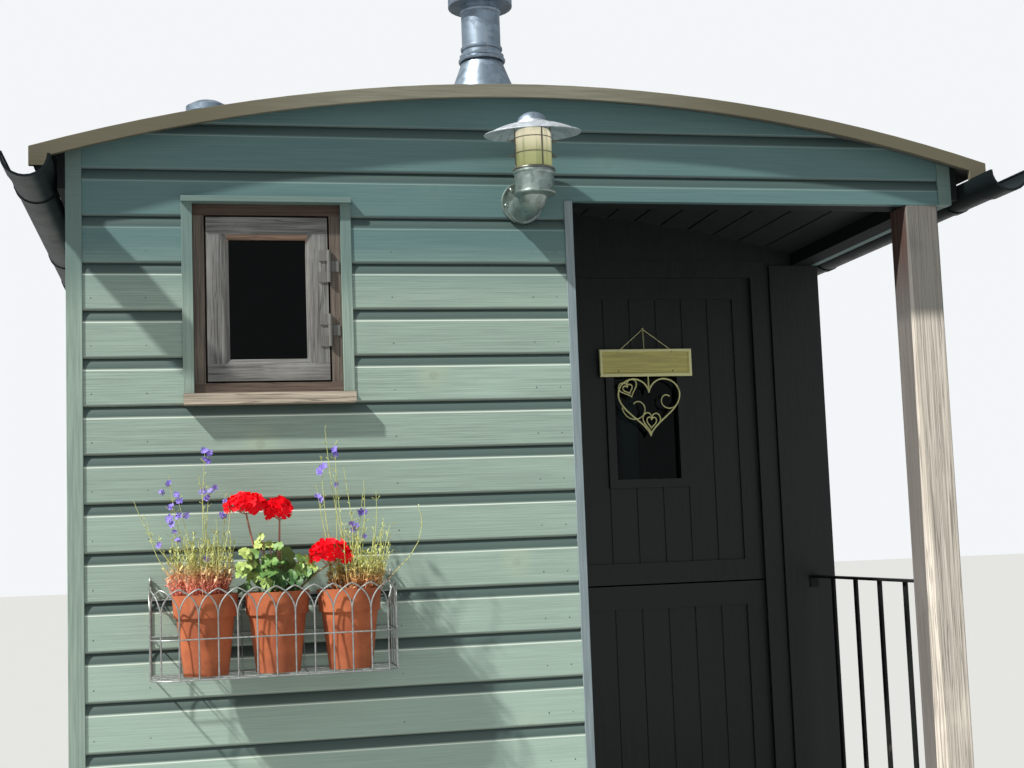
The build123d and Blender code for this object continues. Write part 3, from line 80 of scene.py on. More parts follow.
# Places that the other pieces are set out from
post_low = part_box("porch_post")[0]
front_face = post_low.y
board_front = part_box("front_boards")[0].y
porch_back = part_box("porch_back_wall")[0].y
# The rows of lapped boards are counted down from the top line
top_line = 2.750
board_cover = 0.122
mm = 0.001
full_turn = 2 * math.pi
# A turned profile ends this far from its axis
pole = 0.1 * mm


# Finishes
class Value:
    """One value in a finish. The usual operators add Math nodes."""

    def __init__(self, finish, socket):
        self.finish = finish
        self.socket = socket

    def math(self, operation, *others, first=None):
        values = (self if first is None else first, *others)
        return self.finish.node("ShaderNodeMath", {"operation": operation}, dict(enumerate(values)))

    def __add__(self, other):
        return self.math("ADD", other)

    def __sub__(self, other):
        return self.math("SUBTRACT", other)

    def __rsub__(self, other):
        return self.math("SUBTRACT", self, first=other)

    def __mul__(self, other):
        return self.math("MULTIPLY", other)

    def __truediv__(self, other):
        return self.math("DIVIDE", other)

    def __rtruediv__(self, other):
        return self.math("DIVIDE", self, first=other)

    __radd__ = __add__
    __rmul__ = __mul__

    def floor(self):
        return self.math("FLOOR")

    def size(self):
        return self.math("ABSOLUTE")

    def rise(self, low, high):
        """0 below low, 1 above high, a smooth step between."""
        return self.finish.node(
            "ShaderNodeMapRange", {"interpolation_type": "SMOOTHSTEP"},
            {"Value": self, "From Min": low, "From Max": high},
        )


class Finish:
    """A material and the nodes in it, with the place on the hut as x, y and z."""

    def __init__(self, name):
        self.material = bpy.data.materials.new(name)
        self.material.use_nodes = True
        self.tree = self.material.node_tree
        self.tree.nodes.clear()
        self.place = self.node("ShaderNodeTexCoord", {}, {}, "Object")
        split = self.node("ShaderNodeSeparateXYZ", {}, {"Vector": self.place})
        self.x, self.y, self.z = (Value(self, split.socket.node.outputs[axis]) for axis in "XYZ")

    def node(self, kind, settings, inputs, output=0):
        """Adds a node: its settings first, then the values or links of its sockets."""
        made = self.tree.nodes.new(kind)
        for name, setting in settings.items():
            setattr(made, name, setting)
        for name, value in inputs.items():
            socket = made.inputs[name]
            if isinstance(value, Value):
                self.tree.links.new(value.socket, socket)
            elif socket.type == "RGBA":
                socket.default_value = (*value[:3], 1.0)
            else:
                socket.default_value = value
        return Value(self, made.outputs[output])

    def vector(self, x=0.0, y=0.0, z=0.0):
        return self.node("ShaderNodeCombineXYZ", {}, {"X": x, "Y": y, "Z": z})

    def noise(self, scale, where=None, detail=4.0, roughness=0.55, distortion=0.0):
        return self.node(
            "ShaderNodeTexNoise", {},
            {"Vector": where or self.place, "Scale": scale, "Detail": detail, "Roughness": roughness,
             "Distortion": distortion},
        )

    def cells(self, scale, where=None, dimensions="3D", output="Distance"):
        return self.node(
            "ShaderNodeTexVoronoi", {"voronoi_dimensions": dimensions, "feature": "F1"},
            {"Vector": where or self.place, "Scale": scale}, output,
        )

    def mix(self, first, second, share):
        """From the first colour to the second as share goes from 0 to 1."""
        return self.node("ShaderNodeMix", {"data_type": "RGBA"}, {0: share, 6: first, 7: second}, 2)

    def surface(self, colour, roughness, relief=None, depth=1.0 * mm, **fixed):
        """Ends the finish. Relief is a height from 0 to 1 that stands for depth in metres."""
        inputs = {"Base Color": colour, "Roughness": roughness}
        if relief is not None:
            inputs["Normal"] = self.node("ShaderNodeBump", {}, {"Height": relief, "Distance": depth})
        for name, value in fixed.items():
            inputs[name.replace("_", " ").title().replace("Ior", "IOR")] = value
        shader = self.node("ShaderNodeBsdfPrincipled", {}, inputs)
        self.tree.links.new(shader.socket, self.tree.nodes.new("ShaderNodeOutputMaterial").inputs["Surface"])
        return self.material


def shade(colour, *factors):
    """The colour times one factor, or times one each for red, green and blue."""
    return tuple(min(1.0, part * factor) for part, factor in zip(colour, factors * 3))


def grain_place(finish, axis, stretch):
    """A place squeezed across the grain, so that noise there draws streaks along the axis."""
    along = {"x": finish.x, "y": finish.y, "z": finish.z}[axis]
    across = [value for name, value in (("x", finish.x), ("y", finish.y), ("z", finish.z)) if name != axis]
    return finish.vector(along, across[0] * stretch, across[1] * stretch)


# Heights where the boards' paint changes: painted sunlight below, painted shade and dimmer highlights under
# the roof
painted_light_rows = (1.1, 2.1)
painted_shade_rows = (2.40, 2.58)
shaded_highlight_rows = (2.40, 2.60)
# Places down one row, as shares of its height: the hollow under the lap above (a painted shadow),
# the start and the end of the painted highlight below it, and the lap's own lower edge (painted shade)
lap_shadow_band = (0.20, 0.238)
highlight_start, highlight_end = (0.236, 0.244), (0.256, 0.266)
lap_edge_shade = (0.965, 0.985)


def lapped_paint(name, paint, axis):
    """Thin weathered paint on lapped boards that run along the axis, with painted light and shade in it."""
    f = Finish(name)
    along = f.x if axis == "x" else f.y
    rows = (top_line - f.z) / board_cover
    row = rows.floor()
    drop = rows - row
    tone = f.node("ShaderNodeTexWhiteNoise", {"noise_dimensions": "1D"}, {"W": row})
    streak = f.noise(1.0, f.vector(along * 4.0 + row * 7.3, 0.0, f.z * 300.0), detail=7.0, roughness=0.68)
    wash = f.noise(1.0, f.vector(along * 1.1 + row * 3.1, row, f.z * 9.0), detail=3.0)
    knot = f.cells(1.0, f.vector(along * 1.9 + row * 0.37, f.z * 1.9), "2D")
    heart = 1.0 - knot.rise(0.012, 0.03)
    halo = 1.0 - knot.rise(0.03, 0.12)
    colour = f.mix(shade(paint, 0.74), shade(paint, 1.24), streak.rise(0.32, 0.70))
    colour = f.mix(colour, shade(paint, 1.32), wash.rise(0.50, 0.78) * 0.6)
    colour = f.mix(colour, shade(paint, 0.78), tone * 0.34)
    colour = f.mix(colour, shade(paint, 1.35, 1.2, 0.95), halo * 0.3)
    colour = f.mix(colour, shade(paint, 0.8, 0.72, 0.62), heart * 0.35)
    # painted light makes the lower rows paler, and painted shade darkens the rows under the roof's edge
    colour = f.mix(colour, shade(paint, 1.50), (1.0 - f.z.rise(*painted_light_rows)) * 0.48)
    colour = f.mix(colour, shade(paint, 0.14, 0.33, 0.44), f.z.rise(*painted_shade_rows) * 0.78)
    # painted shadow in the hollow under each lap, a painted highlight along its foot and painted shade on the
    # lap's own edge
    colour = f.mix(colour, shade(paint, 0.15, 0.20, 0.22), (1.0 - drop.rise(*lap_shadow_band)) * 0.92)
    foot = drop.rise(*highlight_start) * (1.0 - drop.rise(*highlight_end))
    colour = f.mix(colour, (0.80, 0.86, 0.77), foot * (0.75 - f.z.rise(*shaded_highlight_rows) * 0.62))
    colour = f.mix(colour, (0.060, 0.055, 0.042), drop.rise(*lap_edge_shade) * 0.6)
    return f.surface(colour, streak * 0.22 + 0.46, streak * 0.7 + heart * 0.3, 0.9 * mm)


def sawn_paint(name, paint, axis, sheen=0.5, wear=0.18, lift=1.18, other=None, share=None,
               specular=0.5, level=None):
    """Even paint on planed timber with a little grain, rubbed patches and a second colour by place.

    Share says by place how much of the other colour shows, and level where pieces lie across the rest.
    """
    f = Finish(name)
    streak = f.noise(7.0, grain_place(f, axis, stretch=26.0), detail=6.0, roughness=0.6)
    if level:
        across = f.noise(7.0, grain_place(f, "x", stretch=26.0), detail=6.0, roughness=0.6)
        streak = streak + (across - streak) * level(f)
    patch = f.noise(3.0, detail=3.0)
    colour = f.mix(shade(paint, 0.82), shade(paint, lift), streak.rise(0.3, 0.74))
    colour = f.mix(colour, shade(paint, 1.5), patch.rise(0.56, 0.76) * wear)
    if other:
        colour = f.mix(colour, other, share(f))
    rough = sheen + (streak - 0.5) * 0.3
    return f.surface(colour, rough, streak, 0.5 * mm, specular_ior_level=specular)


def bare_timber(name, light, dark, axis, stains=(), cracks=0.5, run=6.0):
    """Weathered timber: grain, checks that run with it, greyed patches and stains by place."""
    f = Finish(name)
    place = grain_place(f, axis, stretch=150.0 / run)
    streak = f.noise(run, place, detail=8.0, roughness=0.66, distortion=0.15)
    fine = f.noise(run * 4.5, place, detail=3.0)
    check = f.noise(run * 0.56, grain_place(f, axis, stretch=200.0 / run), detail=2.0, distortion=0.3)
    crack = 1.0 - (check - 0.5).size().rise(0.006, 0.03)
    patch = f.noise(4.0, detail=3.0)
    colour = f.mix(dark, light, streak.rise(0.34, 0.68))
    colour = f.mix(colour, shade(light, 1.25), patch.rise(0.5, 0.75) * 0.45)
    colour = f.mix(colour, shade(dark, 0.7), fine.rise(0.55, 0.72) * 0.35)
    for stain, share in stains:
        colour = f.mix(colour, stain, share(f))
    colour = f.mix(colour, shade(dark, 0.35), crack * cracks)
    relief = streak * 0.6 + fine * 0.25 - crack * 0.5
    return f.surface(colour, 0.72 + (fine - 0.5) * 0.2, relief, 1.0 * mm)


def zinc(name, tint, rough, spangle_scale=55.0, dirt=0.25, other=None, share=None):
    """Galvanised steel: spangle, dull patches, a little run-off and a second tint by place."""
    f = Finish(name)
    flake = f.cells(spangle_scale, output="Color")
    grey = f.node("ShaderNodeSeparateColor", {}, {"Color": flake}, "Red")
    patch = f.noise(9.0, detail=4.0)
    runs = f.noise(1.0, f.vector(f.x * 60.0, f.y * 60.0, f.z * 3.0), detail=3.0)
    colour = f.mix(shade(tint, 0.78), shade(tint, 1.15), grey)
    if other:
        colour = f.mix(colour, f.mix(shade(other, 0.8), shade(other, 1.15), grey), share(f))
    colour = f.mix(colour, shade(tint, 0.62), patch.rise(0.5, 0.72) * dirt)
    colour = f.mix(colour, (0.62, 0.62, 0.58), runs.rise(0.58, 0.75) * dirt)
    return f.surface(colour, rough + patch * 0.22 + grey * 0.06, patch, 0.15 * mm, metallic=0.85)


def plain_metal(name, paint, rough, chips=(0.20, 0.17, 0.15), chip_share=0.35, specular=0.5):
    """Coated steel or iron with small chips."""
    f = Finish(name)
    patch = f.noise(14.0, detail=6.0, roughness=0.65)
    fine = f.noise(220.0, detail=2.0)
    colour = f.mix(shade(paint, 0.85), shade(paint, 1.25), fine)
    colour = f.mix(colour, chips, patch.rise(0.62, 0.70) * chip_share)
    return f.surface(colour, rough + (patch - 0.5) * 0.25, fine * 0.3 + patch * 0.7, 0.3 * mm,
                     specular_ior_level=specular)


sage = (0.258, 0.345, 0.292)
slate = (0.185, 0.232, 0.250)
charcoal = (0.0095, 0.0125, 0.0125)
weathered_white = (0.66, 0.62, 0.54)

# The foot of the drip caps over the windows: the green trims above it lie level
cap_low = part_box("window_frame_front")[1].z - 1.0 * mm
# The trims get painted shade, a deeper and bluer colour, over these heights up to the roof
trim_shade_heights = (2.36, 2.52)
# The painted shadow on the post's end starts here, and the stain on its inner face darkens over a longer
# height
post_shadow_line = (2.335, 2.385)
post_stain = (2.36, 2.60)
# The roof's lining is dark over the porch, from its back wall on
lining_edge = porch_back + 0.05
# Where the lantern's shade changes from its bright skirt to its dull dome, a painted reflection on one metal
skirt_reflection_edge = (2.846, 2.850)


def inner_face(f):
    """The post's face towards the porch."""
    return 1.0 - f.x.rise(post_low.x + 0.5 * mm, post_low.x + 1.5 * mm)


def inner_shade(f):
    """Painted shade on the post's face towards the porch."""
    return inner_face(f) * 0.86


def inner_stain(f):
    """The brown stain on the inner top of the post."""
    return f.z.rise(*post_stain) * inner_face(f) * 0.8


def head_shadow(f):
    """A painted shadow on the post's end under the header, and a few dark patches below it."""
    return f.z.rise(*post_shadow_line) * 0.90 + f.noise(2.5).rise(0.55, 0.7) * 0.08


def dark_paint(name, axis, sheen, specular, paint=charcoal):
    """The porch's charcoal paint, with a little wear on its high places."""
    return sawn_paint(name, paint, axis, sheen=sheen, wear=0.3, lift=1.35, specular=specular)


finishes = {
    "sage across": lapped_paint("sage_boards_across", sage, "x"),
    "sage along": lapped_paint("sage_boards_along", sage, "y"),
    # the trims' other colour up high is painted shade
    "sage trim": sawn_paint(
        "sage_trim", shade(sage, 0.86), "z", sheen=0.55, level=lambda f: f.z.rise(cap_low, cap_low + mm),
        other=(0.075, 0.135, 0.130), share=lambda f: f.z.rise(*trim_shade_heights) * 0.72),
    "slate trim": sawn_paint("slate_trim", slate, "z", sheen=0.55),
    "charcoal up": dark_paint("charcoal_upright", "z", 0.46, 0.35),
    "charcoal along": dark_paint("charcoal_along", "y", 0.75, 0.12),
    "charcoal across": dark_paint("charcoal_across", "x", 0.7, 0.15),
    # the ceiling's charcoal is lightened as painted light
    "ceiling": dark_paint("charcoal_ceiling_painted_light", "y", 0.55, 0.3, shade(charcoal, 2.4)),
    # the post carries a painted shadow on its end and painted shade on its inner face
    "oak": bare_timber(
        "weathered_oak", (0.66, 0.60, 0.52), (0.34, 0.305, 0.26), "z",
        (((0.088, 0.088, 0.082), head_shadow), ((0.078, 0.074, 0.075), inner_shade),
         ((0.060, 0.020, 0.012), inner_stain)), cracks=0.6, run=2.6),
    "trim brown": sawn_paint(
        "roof_edge_paint", (0.180, 0.174, 0.132), "x", sheen=0.7, wear=0.4, specular=0.25,
        other=(0.108, 0.098, 0.066), share=lambda f: (f.x + 0.15).size().rise(0.2, 0.8)),
    # the blue of this tint is a painted sky reflection
    "galvanised": zinc("galvanised_sheet", (0.29, 0.36, 0.44), 0.24),
    # the green of this tint is a painted reflection of the surroundings
    "lantern metal": zinc("galvanised_lamp", (0.30, 0.365, 0.345), 0.23, spangle_scale=80.0, dirt=0.35),
    # the shade's pale skirt and darker dome are a painted reflection
    "shade metal": zinc(
        "galvanised_shade", (0.66, 0.71, 0.76), 0.36, spangle_scale=80.0, dirt=0.2,
        other=(0.20, 0.25, 0.31), share=lambda f: f.z.rise(*skirt_reflection_edge)),
    "cage metal": zinc("galvanised_cage", (0.20, 0.20, 0.17), 0.34, spangle_scale=120.0, dirt=0.2),
    "gutter": plain_metal("black_gutter", (0.010, 0.014, 0.015), 0.34, chip_share=0.0, specular=0.04),
    "roof": plain_metal("coated_roof_sheet", (0.085, 0.088, 0.085), 0.42, chip_share=0.15),
    "railing": plain_metal("black_railing", (0.014, 0.016, 0.015), 0.45, specular=0.10),
    "chassis": plain_metal("black_chassis", (0.040, 0.042, 0.042), 0.5, chips=(0.16, 0.09, 0.05)),
    "wheel": plain_metal("cast_iron", (0.085, 0.080, 0.075), 0.55, chips=(0.20, 0.11, 0.06), chip_share=0.5),
    "stove": plain_metal("stove_iron", (0.03, 0.03, 0.03), 0.6, chip_share=0.1),
    "wire": zinc("basket_wire", (0.36, 0.38, 0.37), 0.34, spangle_scale=150.0, dirt=0.5),
    "floor": sawn_paint("oiled_floor", (0.42, 0.32, 0.22), "y", sheen=0.45),
    "deck": bare_timber("weathered_deck", (0.34, 0.30, 0.25), (0.19, 0.16, 0.125), "x"),
    "lining": sawn_paint("painted_lining", weathered_white, "z"),
    "roof lining": sawn_paint(
        "painted_roof_lining", weathered_white, "z", other=charcoal,
        share=lambda f: 1.0 - f.y.rise(lining_edge, lining_edge + 2.0 * mm)),
    "cream": sawn_paint("cream_scrollwork", (0.84, 0.83, 0.42), "z", sheen=0.6, wear=0.4),
    "pin": plain_metal("sign_pins", (0.10, 0.085, 0.035), 0.5, chip_share=0.1),
}


def joinery(name, axis, light, dark, rails, parts, middle, face):
    """Weathered joinery round a window: rails have their grain across, stiles have it upright.

    Rails are (low z, high z, half width) bands round the middle of the window. Parts are such bands with a
    tint and its share. What stands proud of the face is a hinge, painted over in grey.
    """
    f = Finish(name)
    around, across = (f.x, f.y) if axis == "x" else (f.y, f.x)
    off_middle = (around - middle).size()
    bands = [f.z.math("GREATER_THAN", low) * f.z.math("LESS_THAN", high) * off_middle.math("LESS_THAN", half)
             for low, high, half in rails]
    is_rail = bands[0]
    for band in bands[1:]:
        is_rail = is_rail.math("MAXIMUM", band)
    level = f.vector(around, across * 30.0, f.z * 34.0)
    upright = f.vector(around * 34.0, across * 34.0, f.z)
    grains = []
    for scale, detail, rough in ((4.5, 8.0, 0.66), (20.0, 3.0, 0.55), (2.6, 2.0, 0.5)):
        first = f.noise(scale, level, detail, rough)
        second = f.noise(scale, upright, detail, rough)
        grains.append(second + (first - second) * is_rail)
    streak, fine, check = grains
    crack = 1.0 - (check - 0.5).size().rise(0.006, 0.028)
    patch = f.noise(7.0, detail=3.0)
    colour = f.mix(dark, light, streak.rise(0.34, 0.68))
    colour = f.mix(colour, shade(light, 1.3), patch.rise(0.5, 0.75) * 0.45)
    colour = f.mix(colour, shade(dark, 0.6), fine.rise(0.55, 0.72) * 0.4)
    for low, high, half, tint, share in parts:
        band = f.z.rise(low - 0.002, low + 0.002) * (1.0 - f.z.rise(high - 0.002, high + 0.002))
        band = band * (1.0 - off_middle.rise(half, half + 0.001))
        stain = f.mix(shade(tint, 0.65), shade(tint, 1.2), streak.rise(0.34, 0.68))
        colour = f.mix(colour, stain, band * share)
    colour = f.mix(colour, shade(dark, 0.3), crack * 0.5)
    iron = across.size().rise(face + 0.0008, face + 0.0012) * f.z.math("GREATER_THAN", rails[0][1])
    colour = f.mix(colour, f.mix((0.085, 0.083, 0.078), (0.155, 0.150, 0.140), patch), iron)
    return f.surface(colour, 0.66 + (fine - 0.5) * 0.2, streak * 0.6 + fine * 0.25 - crack * 0.5, 0.9 * mm)


def window_face(node, axis):
    """How far out the joinery's face lies, read at its top edge, where no hinge is."""
    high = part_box(node)[1]
    return max(abs(getattr(vertex.co, "y" if axis == "x" else "x")) for vertex in nodes[node].data.vertices
               if vertex.co.z > high.z - 0.004)


# The windows' members: the sill and rails of a frame, then a sash's rails at its stiles and at the light
sill_height, frame_rail = 0.028, 0.030
sash_shoulder, sash_rail, sash_stile = 0.0445, 0.060, 0.056
full_width = 1.0
for where, wall_axis, side_name in (("front", "x", "front"), ("side", "y", "left")):
    low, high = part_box("window_frame_" + side_name)
    sill_top = low.z + sill_height
    middle = (getattr(low, wall_axis) + getattr(high, wall_axis)) / 2
    frame_rails = ((low.z - 0.01, sill_top + frame_rail, full_width),
                   (high.z - frame_rail, high.z + 0.01, full_width))
    finishes["window frame " + where] = joinery(
        f"stained_frame_{where}", wall_axis, (0.150, 0.120, 0.095), (0.070, 0.052, 0.040), frame_rails,
        ((low.z - 0.02, sill_top, full_width, (0.42, 0.36, 0.28), 0.95),
         (sill_top, sill_top + frame_rail, full_width, (0.12, 0.075, 0.055), 0.6),
         (high.z - frame_rail, high.z + 0.02, full_width, (0.052, 0.026, 0.016), 0.9)),
        middle, window_face("window_frame_" + side_name, wall_axis),
    )
    low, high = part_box("window_sash_" + side_name)
    half_light = (getattr(high, wall_axis) - getattr(low, wall_axis)) / 2 - sash_stile
    finishes["window sash " + where] = joinery(
        f"greyed_sash_{where}", wall_axis, (0.205, 0.205, 0.195), (0.085, 0.082, 0.077),
        ((low.z - 0.01, low.z + sash_shoulder, full_width), (low.z, low.z + sash_rail, half_light),
         (high.z - sash_rail, high.z, half_light), (high.z - sash_shoulder, high.z + 0.01, full_width)),
        ((high.z - 0.062, high.z - 0.045, half_light, (0.30, 0.17, 0.10), 0.7),),
        middle, window_face("window_sash_" + side_name, wall_axis),
    )


def clay():
    """Terracotta with a lighter bloom, pale runs and a damp foot."""
    f = Finish("terracotta")
    bloom = f.noise(16.0, detail=5.0, roughness=0.6)
    fine = f.noise(260.0, detail=2.0)
    runs = f.noise(1.0, f.vector(f.x * 40.0, f.y * 40.0, f.z * 7.0), detail=4.0)
    damp_from, dry_from = 1.47, 1.53
    wet = 1.0 - f.z.rise(damp_from, dry_from)
    colour = f.mix((0.29, 0.070, 0.025), (0.44, 0.120, 0.042), bloom.rise(0.3, 0.7))
    colour = f.mix(colour, (0.50, 0.26, 0.15), runs.rise(0.60, 0.80) * 0.2)
    colour = f.mix(colour, (0.22, 0.070, 0.030), wet * 0.4)
    return f.surface(colour, 0.78 + fine * 0.12, fine * 0.5 + bloom * 0.5, 0.5 * mm)


def pane(name, tint):
    """Window glass with faint smears, tinted dark as painted shade of the dim room behind it."""
    f = Finish(name)
    smear = f.noise(4.0, detail=3.0)
    return f.surface(tint, smear * 0.05 + 0.02, transmission_weight=1.0, ior=1.22)


def jar_glass():
    """Ribbed, yellowed glass that is half clear and half milky, with a painted glow."""
    f = Finish("lamp_jar")
    rib = f.noise(1.0, f.vector(f.x * 70.0, f.y * 70.0, f.z * 6.0), detail=3.0)
    clear_to, milky_from = 2.745, 2.815
    colour = f.mix((0.52, 0.53, 0.26), (1.0, 0.94, 0.76), f.z.rise(clear_to, milky_from))
    colour = f.mix(colour, (0.30, 0.35, 0.14), rib.rise(0.48, 0.70) * 0.6)
    # the emission is a painted glow that stands in for sunlight through the jar
    return f.surface(colour, rib * 0.2 + 0.12, rib, 0.9 * mm, transmission_weight=0.25, ior=1.45,
                     emission_color=colour, emission_strength=0.22)


def soil():
    """Dark soil in coarse crumbs."""
    f = Finish("potting_soil")
    crumb = f.cells(90.0)
    colour = f.mix((0.025, 0.017, 0.011), (0.085, 0.058, 0.038), crumb)
    return f.surface(colour, 0.95, crumb, 4.0 * mm)


def foliage(name, low, high, low_z, high_z, spread=0.3):
    """Leaf or stem colour that goes from low to high up the plant."""
    f = Finish(name)
    mottle = f.noise(60.0, detail=3.0)
    climb = (f.z + (f.noise(18.0) - 0.5) * 0.06).rise(low_z, high_z)
    colour = f.mix(low, high, climb)
    colour = f.mix(colour, shade(high, 1.6), mottle.rise(0.45, 0.8) * spread)
    return f.surface(colour, 0.55, mottle, 0.3 * mm, subsurface_weight=0.08)


def petal(name, deep, bright):
    """A petal with deeper veins."""
    f = Finish(name)
    vein = f.noise(120.0, detail=3.0)
    colour = f.mix(deep, bright, vein.rise(0.3, 0.65))
    return f.surface(colour, 0.6, vein, 0.2 * mm, subsurface_weight=0.1, specular_ior_level=0.1)


rim_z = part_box("flower_pots")[1].z
finishes.update({
    "clay": clay(),
    # the glass's dark tint is painted shade
    "glass": pane("window_pane", (0.030, 0.058, 0.054)),
    "lamp glass": jar_glass(),
    "soil": soil(),
    "pink grass": foliage("pink_grass", (0.86, 0.30, 0.22), (0.48, 0.50, 0.18), rim_z + 0.01, rim_z + 0.09),
    "gold grass": foliage("gold_grass", (0.68, 0.28, 0.14), (0.50, 0.52, 0.17), rim_z - 0.01, rim_z + 0.07),
    "leaf": foliage(
        "geranium_leaf", (0.030, 0.10, 0.030), (0.13, 0.25, 0.05), rim_z, rim_z + 0.11, spread=0.7),
    "pale leaf": foliage("pale_leaf", (0.20, 0.32, 0.07), (0.36, 0.46, 0.12), rim_z, rim_z + 0.11),
    "red stem": foliage("geranium_stem", (0.20, 0.24, 0.07), (0.30, 0.13, 0.09), rim_z, rim_z + 0.12),
    "red petal": petal("scarlet_petal", (0.78, 0.002, 0.008), (1.0, 0.006, 0.020)),
    "violet petal": petal("violet_petal", (0.16, 0.11, 0.50), (0.34, 0.26, 0.74)),
})


# Shapes
def ring_faces(rings, sides, closed=False):
    """The faces between rings of points that follow each other."""
    faces = []
    for ring in range(rings if closed else rings - 1):
        after = (ring + 1) % rings
        for step in range(sides):
            beside = (step + 1) % sides
            faces.append((ring * sides + step, ring * sides + beside,
                          after * sides + beside, after * sides + step))
    return faces


class Shape:
    """Points and faces of one piece while it is put together."""

    def __init__(self):
        self.points = []
        self.faces = []

    def add(self, points, faces):
        base = len(self.points)
        self.points += [Vector(point) for point in points]
        self.faces += [tuple(base + index for index in face) for face in faces]
        return self

    def tube(self, route, radius, sides, closed=False, flat=1.0):
        """A round bar along the route; radius may be one value or one for each point."""
        route = [Vector(point) for point in route]
        count = len(route)
        radii = radius if isinstance(radius, (list, tuple)) else [radius] * count
        normal = None
        points = []
        for index, point in enumerate(route):
            before = route[index - 1] if index or closed else point
            after = route[(index + 1) % count] if index + 1 < count or closed else point
            along = (after - before).normalized()
            if normal is None:
                side = Vector((0, 0, 1)) if abs(along.z) < 0.9 else Vector((1, 0, 0))
                normal = along.cross(side).normalized()
            normal = (normal - along * normal.dot(along)).normalized()
            third = along.cross(normal)
            for step in range(sides):
                turn = full_turn * step / sides
                points.append(point + normal * math.cos(turn) * radii[index]
                              + third * math.sin(turn) * radii[index] * flat)
        faces = ring_faces(count, sides, closed)
        if not closed:
            faces.append(tuple(reversed(range(sides))))
            faces.append(tuple(range((count - 1) * sides, count * sides)))
        return self.add(points, faces)

    def lathe(self, profile, centre, sides):
        """Turns a closed profile of (radius, height) about the upright line through centre."""
        points = []
        for radius, height in profile:
            for step in range(sides):
                turn = full_turn * step / sides
                points.append((centre[0] + radius * math.cos(turn),
                               centre[1] + radius * math.sin(turn), height))
        return self.add(points, ring_faces(len(profile), sides, closed=True))


def smooth(mesh, angle):
    """Smooths all but the edges that are sharper than the angle in degrees."""
    for face in mesh.polygons:
        face.use_smooth = True
    mesh.set_sharp_from_angle(angle=math.radians(angle))


def settle(mesh, angle):
    """Merges doubles, turns all faces outwards and smooths all but the sharp edges."""
    work = bmesh.new()
    work.from_mesh(mesh)
    bmesh.ops.remove_doubles(work, verts=work.verts, dist=1e-5)
    bmesh.ops.recalc_face_normals(work, faces=work.faces)
    work.to_mesh(mesh)
    work.free()
    smooth(mesh, angle)


def add_object(name, data):
    """Puts an object with these data in the scene, at the origin."""
    added = bpy.data.objects.new(name, data)
    bpy.context.scene.collection.objects.link(added)
    return added


def place_piece(name, mesh, finish, body="root", replaces=()):
    """Puts a finished mesh on the hut, says what it rides on, and hides the nodes that it takes the place of.
    """
    piece = add_object(name, mesh)
    mesh.materials.clear()
    mesh.materials.append(finishes[finish])
    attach(piece, body)
    if replaces:
        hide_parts(*replaces)
    return piece


def make_piece(name, shape, finish, body="root", replaces=(), angle=35.0):
    """Makes a mesh of the shape and puts it on the hut."""
    mesh = bpy.data.meshes.new(name)
    mesh.from_pydata([tuple(point) for point in shape.points], [], shape.faces)
    settle(mesh, angle)
    return place_piece(name, mesh, finish, body, replaces)


def dress(node, finish, soft, angle):
    """A merged copy of a node, with its edges eased by soft, that stands for the node."""
    mesh = nodes[node].data.copy()
    mesh.name = node + "_dressed"
    work = bmesh.new()
    work.from_mesh(mesh)
    bmesh.ops.remove_doubles(work, verts=work.verts, dist=2e-5)
    if soft:
        bmesh.ops.dissolve_limit(
            work, angle_limit=math.radians(1.0), verts=work.verts, edges=work.edges, delimit={"NORMAL"})
    work.to_mesh(mesh)
    work.free()
    if "custom_normal" in mesh.attributes:
        mesh.attributes.remove(mesh.attributes["custom_normal"])
    for face in mesh.polygons:
        face.material_index = 0
    smooth(mesh, angle)
    piece = place_piece(node + "_dressed", mesh, finish, body_of(nodes[node])[0], (node,))
    if soft:
        ease = piece.modifiers.new("eased edges", "BEVEL")
        ease.width = soft
        ease.segments = 2
        ease.limit_method = "ANGLE"
        ease.angle_limit = math.radians(40.0)
        ease.harden_normals = True
        ease.use_clamp_overlap = True
    return piece


